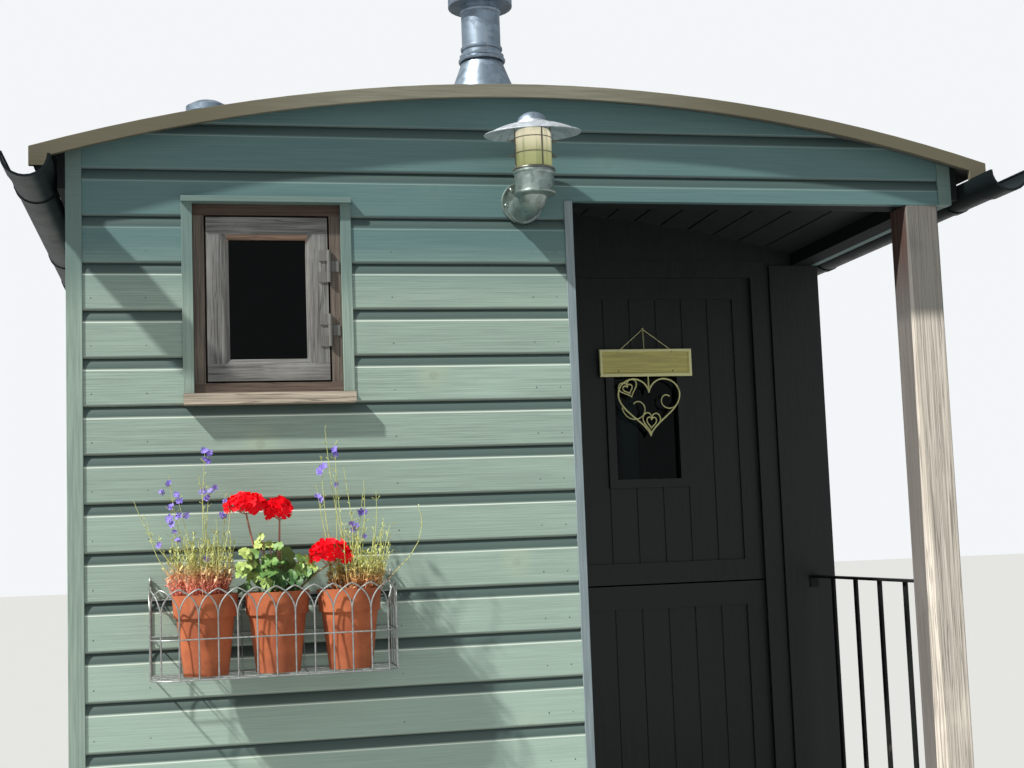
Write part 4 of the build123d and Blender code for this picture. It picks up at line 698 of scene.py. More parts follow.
# The hut's own nodes: node, finish, material slot, eased edge in mm
dressed = [
    ("front_boards", "sage across", "green_boards", 0.0),
    ("rear_boards", "sage across", "green_boards", 0.0),
    ("left_boards", "sage along", "green_boards", 0.0),
    ("right_boards", "sage along", "green_boards", 0.0),
    ("green_trims", "sage trim", "green_boards", 1.2),
    ("porch_corner_trim", "slate trim", "slate_trim", 1.2),
    ("porch_trims", "charcoal up", "charcoal_timber", 1.2),
    ("porch_side_wall", "charcoal up", "charcoal_timber", 0.0),
    ("porch_back_wall", "charcoal up", "charcoal_timber", 0.0),
    ("porch_ceiling", "ceiling", "charcoal_timber", 0.0),
    ("header_beam", "charcoal across", "charcoal_timber", 1.5),
    ("eaves_beam", "charcoal along", "charcoal_timber", 1.5),
    ("eaves_fascias", "charcoal along", "charcoal_timber", 0.0),
    ("porch_post", "oak", "oak", 2.0),
    ("door_frame", "charcoal up", "charcoal_timber", 1.2),
    ("door_upper_leaf", "charcoal up", "charcoal_timber", 0.8),
    ("door_lower_leaf", "charcoal up", "charcoal_timber", 0.8),
    ("roof_end_trims", "trim brown", "roof_trim", 1.5),
    ("roof_sheet", "roof", "roof_metal", 0.0),
    ("roof_deck", "roof lining", "inner_lining", 0.0),
    ("front_wall", "lining", "inner_lining", 0.0),
    ("rear_wall", "lining", "inner_lining", 0.0),
    ("left_wall", "lining", "inner_lining", 0.0),
    ("right_wall", "lining", "inner_lining", 0.0),
    ("floor", "floor", "floor_timber", 0.0),
    ("porch_deck", "deck", "deck_timber", 1.5),
    ("porch_steps", "deck", "deck_timber", 2.0),
    ("gutter_left", "gutter", "gutter_black", 0.0),
    ("gutter_right", "gutter", "gutter_black", 0.0),
    ("flue_pipe", "galvanised", "galvanised", 0.0),
    ("flue_cone", "galvanised", "galvanised", 0.0),
    ("roof_vent", "galvanised", "galvanised", 0.0),
    ("stove", "stove", "stove_iron", 3.0),
    ("porch_railing", "railing", "railing_iron", 0.8),
    ("chassis_frame", "chassis", "chassis_steel", 0.0),
    ("fixed_axle", "chassis", "chassis_steel", 0.0),
    ("fore_carriage", "chassis", "chassis_steel", 0.0),
    ("drawbar", "chassis", "chassis_steel", 1.5),
    ("wheel_fixed_left", "wheel", "wheel_iron", 0.0),
    ("wheel_fixed_right", "wheel", "wheel_iron", 0.0),
    ("wheel_steer_left", "wheel", "wheel_iron", 0.0),
    ("wheel_steer_right", "wheel", "wheel_iron", 0.0),
    ("flower_pots", "clay", "terracotta", 0.0),
]
for where in ("front", "left", "right"):
    kind = "front" if where == "front" else "side"
    dressed.append((f"window_frame_{where}", "window frame " + kind, "window_oak", 1.0))
    dressed.append((f"window_sash_{where}", "window sash " + kind, "window_sash", 1.0))
for node, finish, slot, soft in dressed:
    # the laps of the boards meet their faces at a small angle, and stay sharp
    dress(node, finish, soft * mm, 18.0 if node.endswith("_boards") else 35.0)
for node in ("door_glass", "window_glass_front", "window_glass_left", "window_glass_right"):
    nodes[node].data.materials.clear()
    nodes[node].data.materials.append(finishes["glass"])


# Wall lantern: a jar in a wire cage stands in a cup, under a shade, on an elbow from its wall plate
lamp_low, lamp_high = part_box("lantern")
lamp_x = (lamp_low.x + lamp_high.x) / 2
lamp_reach = 0.160
lamp_y = front_face - lamp_reach
lamp_centre = (lamp_x, lamp_y)


def arc_points(centre, radius, start, end, steps, x):
    """Points on an upright arc at x, with its centre as (y, z) and its angles in degrees."""
    points = []
    for index in range(steps + 1):
        turn = math.radians(start + (end - start) * index / steps)
        points.append((x, centre[0] + radius * math.cos(turn), centre[1] + radius * math.sin(turn)))
    return points


# The shade nods towards the viewer and leans a little to the left, in degrees
shade_nod, shade_lean = 6.0, -2.0
shade_rim, shade_radius = 2.8195, 0.1245
shade_turn = (Matrix.Translation((lamp_x, lamp_y, shade_rim))
              @ Matrix.Rotation(math.radians(shade_nod), 4, "X")
              @ Matrix.Rotation(math.radians(shade_lean), 4, "Y")
              @ Matrix.Translation((-lamp_x, -lamp_y, -shade_rim)))
shade_crown, dome_radius, dome_rise = 0.0265, 0.0405, 0.0300
# The skirt flattens towards the dome as a sine does up to this angle in radians
bell_steps, bell_bend = 12, 1.45
bell = []
for step in range(bell_steps + 1):
    share = step / bell_steps
    bell.append((shade_radius + (dome_radius - shade_radius) * share,
                 shade_rim + shade_crown * math.sin(share * bell_bend) / math.sin(bell_bend)))
dome = [(dome_radius * math.cos(math.radians(turn)),
         shade_rim + shade_crown + dome_rise * math.sin(math.radians(turn))) for turn in range(10, 90, 10)]
shade_top = Shape()
shade_top.lathe(
    [(radius, height - 1.4 * mm) for radius, height in reversed(bell[1:])]
    + [(shade_radius, shade_rim - 2.0 * mm), (shade_radius + 1.6 * mm, shade_rim - 2.4 * mm),
       (shade_radius + 2.4 * mm, shade_rim - 0.6 * mm), (shade_radius + 1.0 * mm, shade_rim + 1.0 * mm)]
    + bell[1:-1] + [(dome_radius + 1.6 * mm, shade_rim + shade_crown + 0.2 * mm)] + dome
    + [(pole, shade_rim + shade_crown + dome_rise), (pole, shade_rim + shade_crown - 2.4 * mm)],
    lamp_centre, 72)
shade_top.points = [shade_turn @ point for point in shade_top.points]
make_piece("lantern_shade", shade_top, "shade metal", replaces=("lantern",), angle=40.0)

cup_radius, cup_top, cup_foot = 0.0515, 2.718, 2.657
cup = Shape()
cup.lathe([
    (pole, cup_top), (cup_radius - 0.004, cup_top), (cup_radius, cup_top + 0.0015),
    (cup_radius + 0.0030, cup_top), (cup_radius + 0.0034, cup_top - 0.0050),
    (cup_radius + 0.0005, cup_top - 0.0070), (cup_radius, cup_top - 0.0120),
    (cup_radius - 0.0010, cup_foot + 0.0080), (cup_radius + 0.0020, cup_foot + 0.0060),
    (cup_radius + 0.0035, cup_foot + 0.0030), (cup_radius + 0.0020, cup_foot),
    (cup_radius - 0.0060, cup_foot - 0.0015), (pole, cup_foot - 0.002),
], lamp_centre, 56)
elbow_z, bend, elbow_radius = 2.6530, 0.052, 0.0365
elbow = [(lamp_x, front_face - 0.004, elbow_z), (lamp_x, front_face - 0.060, elbow_z)]
elbow += arc_points((lamp_y + bend, elbow_z + bend), bend, 270, 190, 12, lamp_x)
# the elbow narrows a little over its last seven rings
cup.tube(elbow, [elbow_radius] * 8 + [elbow_radius * (1.0 - 0.012 * step) for step in range(7)], 40)
cup.tube([(lamp_x, front_face - 0.010, elbow_z), (lamp_x, front_face - 0.020, elbow_z)],
         elbow_radius + 0.004, 40)
plate_radius, screw_circle, plate_z = 0.0575, 0.0455, 2.671
plate = Shape()
plate.lathe([(pole, 0.0005), (plate_radius - 0.0015, 0.0005), (plate_radius, 0.003), (plate_radius, 0.0090),
             (plate_radius - 0.0020, 0.0115), (plate_radius - 0.0045, 0.0115),
             (plate_radius - 0.0065, 0.0090), (plate_radius - 0.0120, 0.0085), (pole, 0.0090)], (0, 0), 64)
plate_turn = Matrix.Translation((lamp_x, front_face, plate_z)) @ Matrix.Rotation(math.radians(90), 4, "X")
plate.points = [plate_turn @ point for point in plate.points]
for degrees in (10, 130, 190, 250):
    turn = math.radians(degrees)
    spot = Vector((lamp_x + screw_circle * math.cos(turn), 0, plate_z + screw_circle * math.sin(turn)))
    plate.tube([(spot.x, front_face - 0.008, spot.z), (spot.x, front_face - 0.0120, spot.z),
                (spot.x, front_face - 0.0135, spot.z)], [0.0045, 0.0045, 0.0028], 14)
make_piece("lantern_cup", cup, "lantern metal", angle=50.0)
make_piece("lantern_plate", plate, "lantern metal", angle=40.0)

cage = Shape()
cage_radius, cage_bar = 0.0520, 0.0020
for degrees in (13.6, 103.6, 193.6, 283.6):
    turn = math.radians(degrees)
    x, y = lamp_x + cage_radius * math.sin(turn), lamp_y - cage_radius * math.cos(turn)
    head = shade_turn @ Vector((x, y, shade_rim + shade_crown - 4.0 * mm))
    cage.tube([(x, y, cup_top - 0.006), (x, y, head.z)], cage_bar, 10)
for height, thick in ((2.7225, 1.5), (2.7625, 0.6), (2.8022, 0.6)):
    ring = [(lamp_x + cage_radius * math.cos(step * math.pi / 24),
             lamp_y + cage_radius * math.sin(step * math.pi / 24), height) for step in range(48)]
    cage.tube(ring, cage_bar * thick, 10, closed=True)
# the ends of the rings stick out at both sides: height, length, thickness
ring_ends = ((2.7225, 0.009, 0.0032), (2.7600, 0.015, 0.0042), (2.7990, 0.018, 0.0050))
for side in (-1, 1):
    for height, long, thick in ring_ends:
        root = lamp_x + side * (cage_radius - 0.001)
        cage.tube([(root, lamp_y, height), (root + side * long * 0.5, lamp_y, height - 0.001),
                   (root + side * long, lamp_y, height + 0.001)],
                  [thick, thick * 0.8, thick * 0.3], 10, flat=0.6)
make_piece("lantern_cage", cage, "cage metal")

jar = Shape()
jar_top, jar_foot, jar_radius = 2.8280, cup_top + 0.0005, 0.0480
shoulder_reach, shoulder_rise = 0.012, 0.016
jar_outer = [(jar_radius, jar_foot), (jar_radius, jar_top - shoulder_rise)]
for degrees in (30, 60, 90):
    turn = math.radians(degrees)
    jar_outer.append((jar_radius - shoulder_reach + shoulder_reach * math.cos(turn),
                      jar_top - shoulder_rise + shoulder_rise * math.sin(turn)))
jar.lathe(jar_outer + [(pole, jar_top), (pole, jar_top - 0.003), (jar_radius - 0.013, jar_top - 0.003),
                       (jar_radius - 0.0045, jar_top - 0.010), (jar_radius - 0.0030, jar_top - 0.018),
                       (jar_radius - 0.0030, jar_foot)], lamp_centre, 48)
make_piece("lantern_jar", jar, "lamp glass", replaces=("lantern_glass",), angle=60.0)


# Collars round the flue: height, radius
flue_x, flue_y = -0.056, front_face + 0.400
collar_bore, collar_height = 0.0585, 0.011
collar = Shape()
for height, reach in ((3.190, 0.0700), (3.203, 0.0660), (3.226, 0.0625), (3.340, 0.0610)):
    collar.lathe([(collar_bore, height), (reach - 0.002, height), (reach, height + 0.003),
                  (reach, height + 0.008), (reach - 0.003, height + collar_height),
                  (collar_bore, height + collar_height)], (flue_x, flue_y), 56)
make_piece("flue_collars", collar, "galvanised")


# Wire basket
wire_low, wire_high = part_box("flower_basket")
basket_middle = (wire_low.x + wire_high.x) / 2
basket_half = (wire_high.x - wire_low.x) / 2
basket_back = wire_high.y
basket_front = wire_low.y
basket_foot = wire_low.z
# radius of the wire, and of the basket's two front corners
wire = 0.0020
corner = 0.070
arch_spring, arch_peak, middle_ring = 1.6180, 1.6820, 1.5635
side_run = basket_back - basket_front - wire - corner
bend_radius = corner - wire
bend_run = bend_radius * math.pi / 2
front_run = 2 * (basket_half - corner)
rail_length = 2 * side_run + 2 * bend_run + front_run
wires_ahead = 9
pitch = rail_length / 2 / (wires_ahead + 1)


def rail_spot(run, height, inset=0.0):
    """The point at a run along the D-shaped rail from wall to wall, which starts at the left."""
    far = run > rail_length / 2
    back = rail_length - run if far else run
    if back < side_run:
        x, y = -(basket_half - wire), basket_back - back
    elif back < side_run + bend_run:
        turn = (back - side_run) / bend_radius
        x = -(basket_half - corner) - bend_radius * math.cos(turn)
        y = basket_front + corner - bend_radius * math.sin(turn)
    else:
        x, y = -(basket_half - corner) + back - side_run - bend_run, basket_front + wire
    x += inset * math.copysign(1.0, -x) * (1.0 if back < side_run + bend_run / 2 else 0.0)
    y += inset * (1.0 if back > side_run + bend_run / 2 else 0.0)
    return (basket_middle + (-x if far else x), y, height)


def rail_run(first, last, height, steps):
    """Points along the rail between two runs."""
    return [rail_spot(first + (last - first) * step / steps, height) for step in range(steps + 1)]


basket = Shape()
left_edge, right_edge = basket_middle - basket_half + wire, basket_middle + basket_half - wire
for height, thick in ((basket_foot + wire, 1.15), (middle_ring, 0.9)):
    basket.tube(rail_run(0.0, rail_length, height, 56), wire * thick, 8)
back_height = arch_spring + 0.036
for height in (basket_foot + wire, middle_ring, back_height):
    basket.tube([(left_edge, basket_back - wire, height), (right_edge, basket_back - wire, height)], wire, 8)
for index in range(-wires_ahead, wires_ahead + 1):
    run = rail_length / 2 + index * pitch
    basket.tube([rail_spot(run, basket_foot + wire), rail_spot(run, arch_spring)], wire, 8)
# pointed arches from each upright to the next but one
arch_offset = ((arch_peak - arch_spring) ** 2 - pitch ** 2) / (2 * pitch)
arch_radius = pitch + arch_offset
lean_over = math.acos(arch_offset / arch_radius)
for index in range(-wires_ahead, wires_ahead + 1):
    middle = rail_length / 2 + index * pitch
    half = []
    for step in range(8):
        turn = lean_over * step / 7
        half.append((arch_radius * math.cos(turn) - arch_offset, arch_spring + arch_radius * math.sin(turn)))
    inset = (index % 2) * wire * 0.9
    route = [rail_spot(max(0.0, middle - away), height, inset) for away, height in half]
    route += [rail_spot(min(rail_length, middle + away), height, inset)
              for away, height in reversed(half[:-1])]
    basket.tube(route, wire * 0.95, 8)
# wall stays with their eyes, and the half arches that climb to them from the first and second upright
eye_radius, eye_z = 0.0085, 1.7000
climb_bend, climb_steps = 74, 8
climb_sine, climb_cosine = math.sin(math.radians(climb_bend)), math.cos(math.radians(climb_bend))
for side in (-1, 1):
    edge = basket_middle + side * (basket_half - wire)
    basket.tube([(edge, basket_back - wire, basket_foot + wire),
                 (edge, basket_back - wire, eye_z - eye_radius)], wire * 1.2, 8)
    eye = [(edge, basket_back - eye_radius - wire + eye_radius * math.cos(step * math.pi / 9),
            eye_z + eye_radius * math.sin(step * math.pi / 9)) for step in range(18)]
    basket.tube(eye, wire * 1.4, 8, closed=True)
    for foot in (1, 2):
        route = []
        for step in range(climb_steps + 1):
            turn = math.radians(climb_bend * step / climb_steps)
            if foot == 1:
                away = pitch * (math.cos(turn) - climb_cosine) / (1 - climb_cosine)
            else:
                away = foot * pitch * (1 - math.sin(turn) / climb_sine * 0.985)
            height = arch_spring + (eye_z - 0.012 * foot - arch_spring) * math.sin(turn) / climb_sine
            run = max(wire, away)
            route.append(rail_spot(run if side < 0 else rail_length - run, height, wire))
        basket.tube(route, wire, 8)
# floor and back wires
for share in (0.25, 0.5, 0.75):
    y = basket_back + (basket_front - basket_back) * share
    basket.tube([(left_edge, y, basket_foot + wire), (right_edge, y, basket_foot + wire)], wire * 0.75, 6)
for index in range(7):
    x = basket_middle + front_run * (index / 6 - 0.5)
    basket.tube([(x, basket_back - wire, back_height), (x, basket_back - wire, basket_foot + wire),
                 (x, basket_front + wire, basket_foot + wire)], wire * 0.75, 6)
make_piece("wire_basket", basket, "wire", replaces=("flower_basket",))


# Plants: they root below the pots' rims, and their leaves stop short of the boards behind them
pot_y = (basket_back + basket_front) / 2
pot_xs = (-0.894, -0.720, -0.542)
root_z = rim_z - 0.016
root_reach = 0.058
dice = random.Random(11)


def bend_route(foot, tip, bow, steps):
    """A stem from foot to tip that bows sideways by bow."""
    foot, tip = Vector(foot), Vector(tip)
    route = []
    for index in range(steps + 1):
        share = index / steps
        point = foot.lerp(tip, share)
        point += Vector(bow) * math.sin(share * math.pi)
        route.append(point)
    return route


def taper(count, thick, thin):
    """Radii that go evenly from thick to thin."""
    return [thick + (thin - thick) * index / (count - 1) for index in range(count)]


earth = Shape()
for x in pot_xs:
    earth.lathe([(0.0004, rim_z - 0.028), (0.064, rim_z - 0.028), (0.0685, rim_z - 0.021),
                 (0.040, root_z), (0.0004, rim_z - 0.013)], (x, pot_y), 32)
make_piece("pot_soil", earth, "soil")


def tuft(shape, x, count, low, high, spread, leaf_half):
    """Fine upright foliage that fans out of a pot, with its leaves thickest low down."""
    for _ in range(count):
        turn = dice.uniform(0, full_turn)
        reach = root_reach * math.sqrt(dice.random())
        foot = (x + reach * math.cos(turn), pot_y + reach * math.sin(turn), root_z)
        height = dice.uniform(low, high)
        lean = (reach / root_reach) * dice.uniform(0.5, 1.0) * spread
        tip = (foot[0] + lean * math.cos(turn) + dice.uniform(-0.010, 0.010),
               min(foot[1] + lean * math.sin(turn) * 0.7, board_front - 0.012), foot[2] + height)
        bow = (dice.uniform(-0.010, 0.010), dice.uniform(-0.008, 0.004), 0)
        route = bend_route(foot, tip, bow, 6)
        shape.tube(route, taper(7, 0.0012, 0.0005), 4)
        for index in range(1, 7):
            for _ in range(3 if index < 4 else 2):
                if dice.random() < 0.8:
                    blade(shape, route[index], dice.uniform(0, full_turn), dice.uniform(0.3, 1.3),
                          dice.uniform(0.012, 0.026), dice.uniform(0.6, 1.2) * leaf_half)


def blade(shape, root, turn, climb, length, half):
    """One narrow folded leaf, which climbs at an angle and droops at its tip."""
    root = Vector(root)
    out = Vector((math.cos(turn) * math.cos(climb), math.sin(turn) * math.cos(climb), math.sin(climb)))
    side = out.cross(Vector((0, 0, 1))).normalized() * half
    drop = Vector((0, 0, -length * 0.18))
    middle = root + out * length * 0.55 - drop * 0.3
    tip = root + out * length + drop
    tip.y = min(tip.y, board_front - 0.006)
    shape.add([root, middle + side, tip, middle - side, middle + Vector((0, 0, -half * 0.5))],
              [(0, 1, 4), (1, 2, 4), (2, 3, 4), (3, 0, 4)])


left_grass, right_grass = Shape(), Shape()
tuft(left_grass, pot_xs[0] - 0.012, 120, 0.040, 0.120, 0.034, 0.0034)
tuft(left_grass, pot_xs[0] - 0.010, 60, 0.110, 0.165, 0.030, 0.0022)
tuft(right_grass, pot_xs[2] + 0.020, 110, 0.035, 0.100, 0.026, 0.0036)
tuft(right_grass, pot_xs[2] + 0.020, 40, 0.090, 0.175, 0.036, 0.0020)
tall_stems = [
    # pot, tip x, tip z, sideways bow, then the flowers that it carries as (x, z)
    (0, -0.889, 2.022, -0.010, ((-0.893, 2.018), (-0.879, 2.009), (-0.882, 1.986), (-0.890, 1.995))),
    (0, -0.882, 1.930, 0.010, ((-0.894, 1.918), (-0.878, 1.919), (-0.866, 1.927), (-0.884, 1.905))),
    (0, -0.976, 1.950, -0.012, ((-0.976, 1.941), (-0.993, 1.917), (-0.959, 1.911), (-0.974, 1.881))),
    (0, -0.955, 1.900, -0.008, ((-0.955, 1.893), (-0.957, 1.857), (-0.935, 1.862))),
    (0, -0.972, 1.870, -0.014, ((-0.971, 1.838), (-0.966, 1.822), (-0.954, 1.798), (-0.978, 1.850))),
    (0, -1.003, 1.815, -0.020, ((-1.001, 1.792),)),
    (0, -0.842, 1.905, 0.014, ((-0.842, 1.892), (-0.846, 1.856))),
    (0, -0.886, 1.790, 0.004, ((-0.886, 1.754),)), (0, -1.062, 1.900, -0.030, ()),
    (0, -0.830, 1.905, 0.020, ()), (0, -0.905, 1.955, 0.010, ()),
    (0, -1.030, 1.850, -0.024, ()), (0, -0.865, 1.850, 0.010, ()),
    (2, -0.594, 2.062, -0.012, ()),
    (2, -0.572, 2.022, -0.010, ((-0.573, 2.010), (-0.568, 2.001))),
    (2, -0.606, 1.985, -0.012, ((-0.605, 1.968), (-0.612, 1.960))),
    (2, -0.566, 1.940, -0.002, ((-0.566, 1.924),)),
    (2, -0.614, 1.915, -0.012, ((-0.613, 1.897), (-0.605, 1.890))),
    (2, -0.500, 1.900, 0.010, ((-0.506, 1.855), (-0.498, 1.854))),
    (2, -0.529, 1.850, 0.006, ((-0.529, 1.825), (-0.528, 1.811), (-0.521, 1.818))),
    (2, -0.500, 1.830, 0.012, ((-0.502, 1.793),)),
    (2, -0.470, 1.905, 0.020, ()), (2, -0.500, 1.935, 0.012, ()),
    (2, -0.545, 1.960, 0.004, ()), (2, -0.455, 1.830, 0.020, ()),
]
bloom_spots = []
for pot, tip_x, tip_z, bow, blooms in tall_stems:
    shape = (left_grass, None, right_grass)[pot]
    foot = (pot_xs[pot] + dice.uniform(-0.03, 0.03), pot_y + dice.uniform(-0.03, 0.03), root_z)
    tip = (tip_x, pot_y + dice.uniform(-0.035, 0.030), tip_z)
    route = bend_route(foot, tip, (bow, 0, 0), 11)
    shape.tube(route, taper(12, 0.0014, 0.0006), 5)
    for _ in range(9):
        at = route[dice.randrange(3, 12)]
        blade(shape, at, dice.uniform(0, 6.28), dice.uniform(0.5, 1.2), dice.uniform(0.006, 0.014), 0.0013)
    for _ in range(5):
        at = route[dice.randrange(6, 12)]
        bud_tip = at + Vector((dice.uniform(-0.012, 0.012), dice.uniform(-0.008, 0.008),
                               dice.uniform(0.004, 0.012)))
        shape.tube([at, at.lerp(bud_tip, 0.6), bud_tip], [0.0004, 0.0005, 0.0012], 5)
    for x, z in blooms:
        joint = min(route, key=lambda point: (point.x - x) ** 2 + (point.z + 0.012 - z) ** 2)
        place = Vector((x, joint.y - 0.004, z))
        shape.tube([joint, joint.lerp(place, 0.5) + Vector((0, 0, -0.002)), place], 0.0005, 4)
        beside = Vector((dice.uniform(-0.005, 0.005), -0.002, dice.uniform(-0.005, 0.005)))
        bloom_spots += [place, place + beside]
# one long stem that leans out over the basket's end and bows back at its tip
lean_route = [(-0.470, pot_y, rim_z - 0.010), (-0.428, pot_y, 1.700), (-0.388, pot_y, 1.738),
              (-0.364, pot_y, 1.776), (-0.355, pot_y, 1.812), (-0.355, pot_y, 1.840), (-0.363, pot_y, 1.862)]
right_grass.tube(lean_route, taper(7, 0.0013, 0.0006), 5)
for x, y, z in lean_route[2:]:
    for _ in range(2):
        blade(right_grass, (x, y, z), dice.uniform(0, 6.28), dice.uniform(0.2, 1.2),
              dice.uniform(0.008, 0.016), 0.0014)
make_piece("pink_grass", left_grass, "pink grass", angle=80.0)
make_piece("gold_grass", right_grass, "gold grass", angle=80.0)

heads = [
    # centre x, centre z, half width, half height, how many florets
    (-0.793, 1.876, 0.046, 0.026, 46), (-0.712, 1.862, 0.027, 0.031, 26), (-0.590, 1.748, 0.044, 0.036, 40),
]
geranium = Shape()
head_y = pot_y - 0.030
for x, z, half, high, _ in heads:
    foot = (pot_xs[1] + (x - pot_xs[1]) * 0.25, pot_y, root_z)
    geranium.tube(bend_route(foot, (x, head_y, z - high * 0.6), ((x - pot_xs[1]) * 0.12, -0.01, 0.02), 9),
                  taper(10, 0.0032, 0.0022), 8)
    for index in range(9):
        swing = index * 2.4
        tip = (x + half * 0.75 * math.cos(swing), head_y + half * 0.5 * math.sin(swing), z)
        geranium.tube(bend_route((x, head_y, z - high * 0.7), tip, (0, 0, -0.004), 3), 0.0009, 5)
leaves = Shape()


def round_leaf(shape, centre, radius, facing, wave):
    """A cupped, scalloped leaf with a notch where its stalk joins."""
    centre, facing = Vector(centre), Vector(facing).normalized()
    side = facing.cross(Vector((0, 0, 1))).normalized()
    up = side.cross(facing)
    points, faces = [centre - facing * radius * 0.16], []
    steps, notch_end, sweep = 26, -75, 330
    for ring, reach in enumerate((0.55, 1.0)):
        for step in range(steps):
            turn = math.radians(notch_end + sweep * step / (steps - 1))
            lobe = 1.0 + 0.10 * math.cos(turn * 7 + wave) * ring
            fold = 0.10 * radius * math.cos(turn * 3.5 + wave) * ring
            out = side * math.cos(turn) + up * math.sin(turn)
            spot = centre + out * radius * reach * lobe + facing * fold
            spot.y = min(spot.y, board_front - 0.004)
            points.append(spot)
    for step in range(steps - 1):
        faces.append((0, 1 + step, 2 + step))
        faces.append((1 + step, 1 + steps + step, 2 + steps + step, 2 + step))
    shape.add(points, faces)


for _ in range(22):
    turn = dice.uniform(0, full_turn)
    reach = dice.uniform(0.02, 0.085)
    centre = (pot_xs[1] + reach * math.cos(turn) * 1.15 + 0.008, pot_y + reach * math.sin(turn) * 0.75 - 0.01,
              rim_z + dice.uniform(0.0, 0.085) * (1.3 - reach * 6))
    facing = (math.cos(turn) * 0.8 + dice.uniform(-0.4, 0.4), -0.9 + dice.uniform(-0.4, 0.6),
              dice.uniform(0.4, 1.2))
    radius = dice.uniform(0.014, 0.027)
    round_leaf(leaves, centre, radius, facing, dice.uniform(0, 6))
    foot = (pot_xs[1] + dice.uniform(-0.02, 0.02), pot_y, root_z)
    geranium.tube(bend_route(foot, centre, (0, 0, 0.006), 4), 0.0012, 5)
pale_leaves = Shape()
leaf_groups = [
    # middle x, middle z, how many, spread, radius, which leaves
    (-0.795, 1.722, 7, 0.018, 0.016, pale_leaves), (-0.765, 1.700, 6, 0.018, 0.016, pale_leaves),
    (-0.795, 1.762, 5, 0.016, 0.014, pale_leaves), (-0.770, 1.748, 4, 0.014, 0.014, leaves),
    (-0.755, 1.788, 6, 0.020, 0.012, pale_leaves), (-0.715, 1.776, 4, 0.014, 0.012, leaves),
    (-0.782, 1.719, 3, 0.012, 0.018, leaves), (-0.725, 1.728, 6, 0.020, 0.018, leaves),
    (-0.697, 1.690, 7, 0.022, 0.019, leaves), (-0.650, 1.722, 5, 0.020, 0.015, pale_leaves),
    (-0.660, 1.700, 4, 0.018, 0.016, leaves),
]
for middle_x, middle_z, count, spread, size, which in leaf_groups:
    for _ in range(count):
        centre = (middle_x + dice.uniform(-spread, spread), head_y + dice.uniform(-0.025, 0.02),
                  middle_z + dice.uniform(-spread, spread) * 0.8)
        facing = (dice.uniform(-0.6, 0.6), -0.8, dice.uniform(0.1, 1.0))
        round_leaf(which, centre, size * dice.uniform(0.75, 1.15), facing, dice.uniform(0, 6))
        foot = (pot_xs[1] + dice.uniform(-0.02, 0.02), pot_y, rim_z + 0.01)
        geranium.tube(bend_route(foot, centre, (0, 0, 0.004), 4), 0.0010, 5)
make_piece("geranium_stems", geranium, "red stem")
make_piece("geranium_leaves", leaves, "leaf", angle=80.0)
make_piece("geranium_pale_leaves", pale_leaves, "pale leaf", angle=80.0)


def spread_tree():
    """A node tree that sets a copy of one small piece on every point, turned and sized at random."""
    tree = bpy.data.node_groups.new("set out", "GeometryNodeTree")
    sockets = tree.interface
    sockets.new_socket("Geometry", in_out="INPUT", socket_type="NodeSocketGeometry")
    sockets.new_socket("Piece", in_out="INPUT", socket_type="NodeSocketObject")
    sockets.new_socket("Finish", in_out="INPUT", socket_type="NodeSocketMaterial")
    for name, value in (("Least size", 0.8), ("Most size", 1.2), ("Tilt", 0.6)):
        sockets.new_socket(name, in_out="INPUT", socket_type="NodeSocketFloat").default_value = value
    sockets.new_socket("Seed", in_out="INPUT", socket_type="NodeSocketInt").default_value = 1
    sockets.new_socket("Geometry", in_out="OUTPUT", socket_type="NodeSocketGeometry")
    new, join = tree.nodes.new, tree.links.new
    source, end = new("NodeGroupInput"), new("NodeGroupOutput")
    fetch = new("GeometryNodeObjectInfo")
    join(source.outputs["Piece"], fetch.inputs["Object"])
    facing = new("GeometryNodeInputNamedAttribute")
    facing.data_type = "FLOAT_VECTOR"
    facing.inputs["Name"].default_value = "facing"
    aim = new("FunctionNodeAlignRotationToVector")
    aim.axis = "Z"
    join(facing.outputs["Attribute"], aim.inputs["Vector"])
    tilt = new("FunctionNodeRandomValue")
    tilt.data_type = "FLOAT_VECTOR"
    turn = new("ShaderNodeCombineXYZ")
    join(source.outputs["Tilt"], turn.inputs["X"])
    join(source.outputs["Tilt"], turn.inputs["Y"])
    turn.inputs["Z"].default_value = math.pi
    back = new("ShaderNodeVectorMath")
    back.operation = "SCALE"
    back.inputs["Scale"].default_value = -1.0
    join(turn.outputs["Vector"], back.inputs[0])
    join(back.outputs["Vector"], tilt.inputs["Min"])
    join(turn.outputs["Vector"], tilt.inputs["Max"])
    join(source.outputs["Seed"], tilt.inputs["Seed"])
    swing = new("FunctionNodeRotateRotation")
    swing.rotation_space = "LOCAL"
    join(aim.outputs["Rotation"], swing.inputs["Rotation"])
    to_turn = new("FunctionNodeEulerToRotation")
    join(tilt.outputs["Value"], to_turn.inputs["Euler"])
    join(to_turn.outputs["Rotation"], swing.inputs["Rotate By"])
    grow = new("FunctionNodeRandomValue")
    join(source.outputs["Least size"], grow.inputs[2])
    join(source.outputs["Most size"], grow.inputs[3])
    join(source.outputs["Seed"], grow.inputs["Seed"])
    put = new("GeometryNodeInstanceOnPoints")
    join(source.outputs["Geometry"], put.inputs["Points"])
    join(fetch.outputs["Geometry"], put.inputs["Instance"])
    join(swing.outputs["Rotation"], put.inputs["Rotation"])
    join(grow.outputs[1], put.inputs["Scale"])
    real = new("GeometryNodeRealizeInstances")
    paint = new("GeometryNodeSetMaterial")
    join(put.outputs["Instances"], real.inputs["Geometry"])
    join(real.outputs["Geometry"], paint.inputs["Geometry"])
    join(source.outputs["Finish"], paint.inputs["Material"])
    join(paint.outputs["Geometry"], end.inputs["Geometry"])
    return tree


set_out = spread_tree()


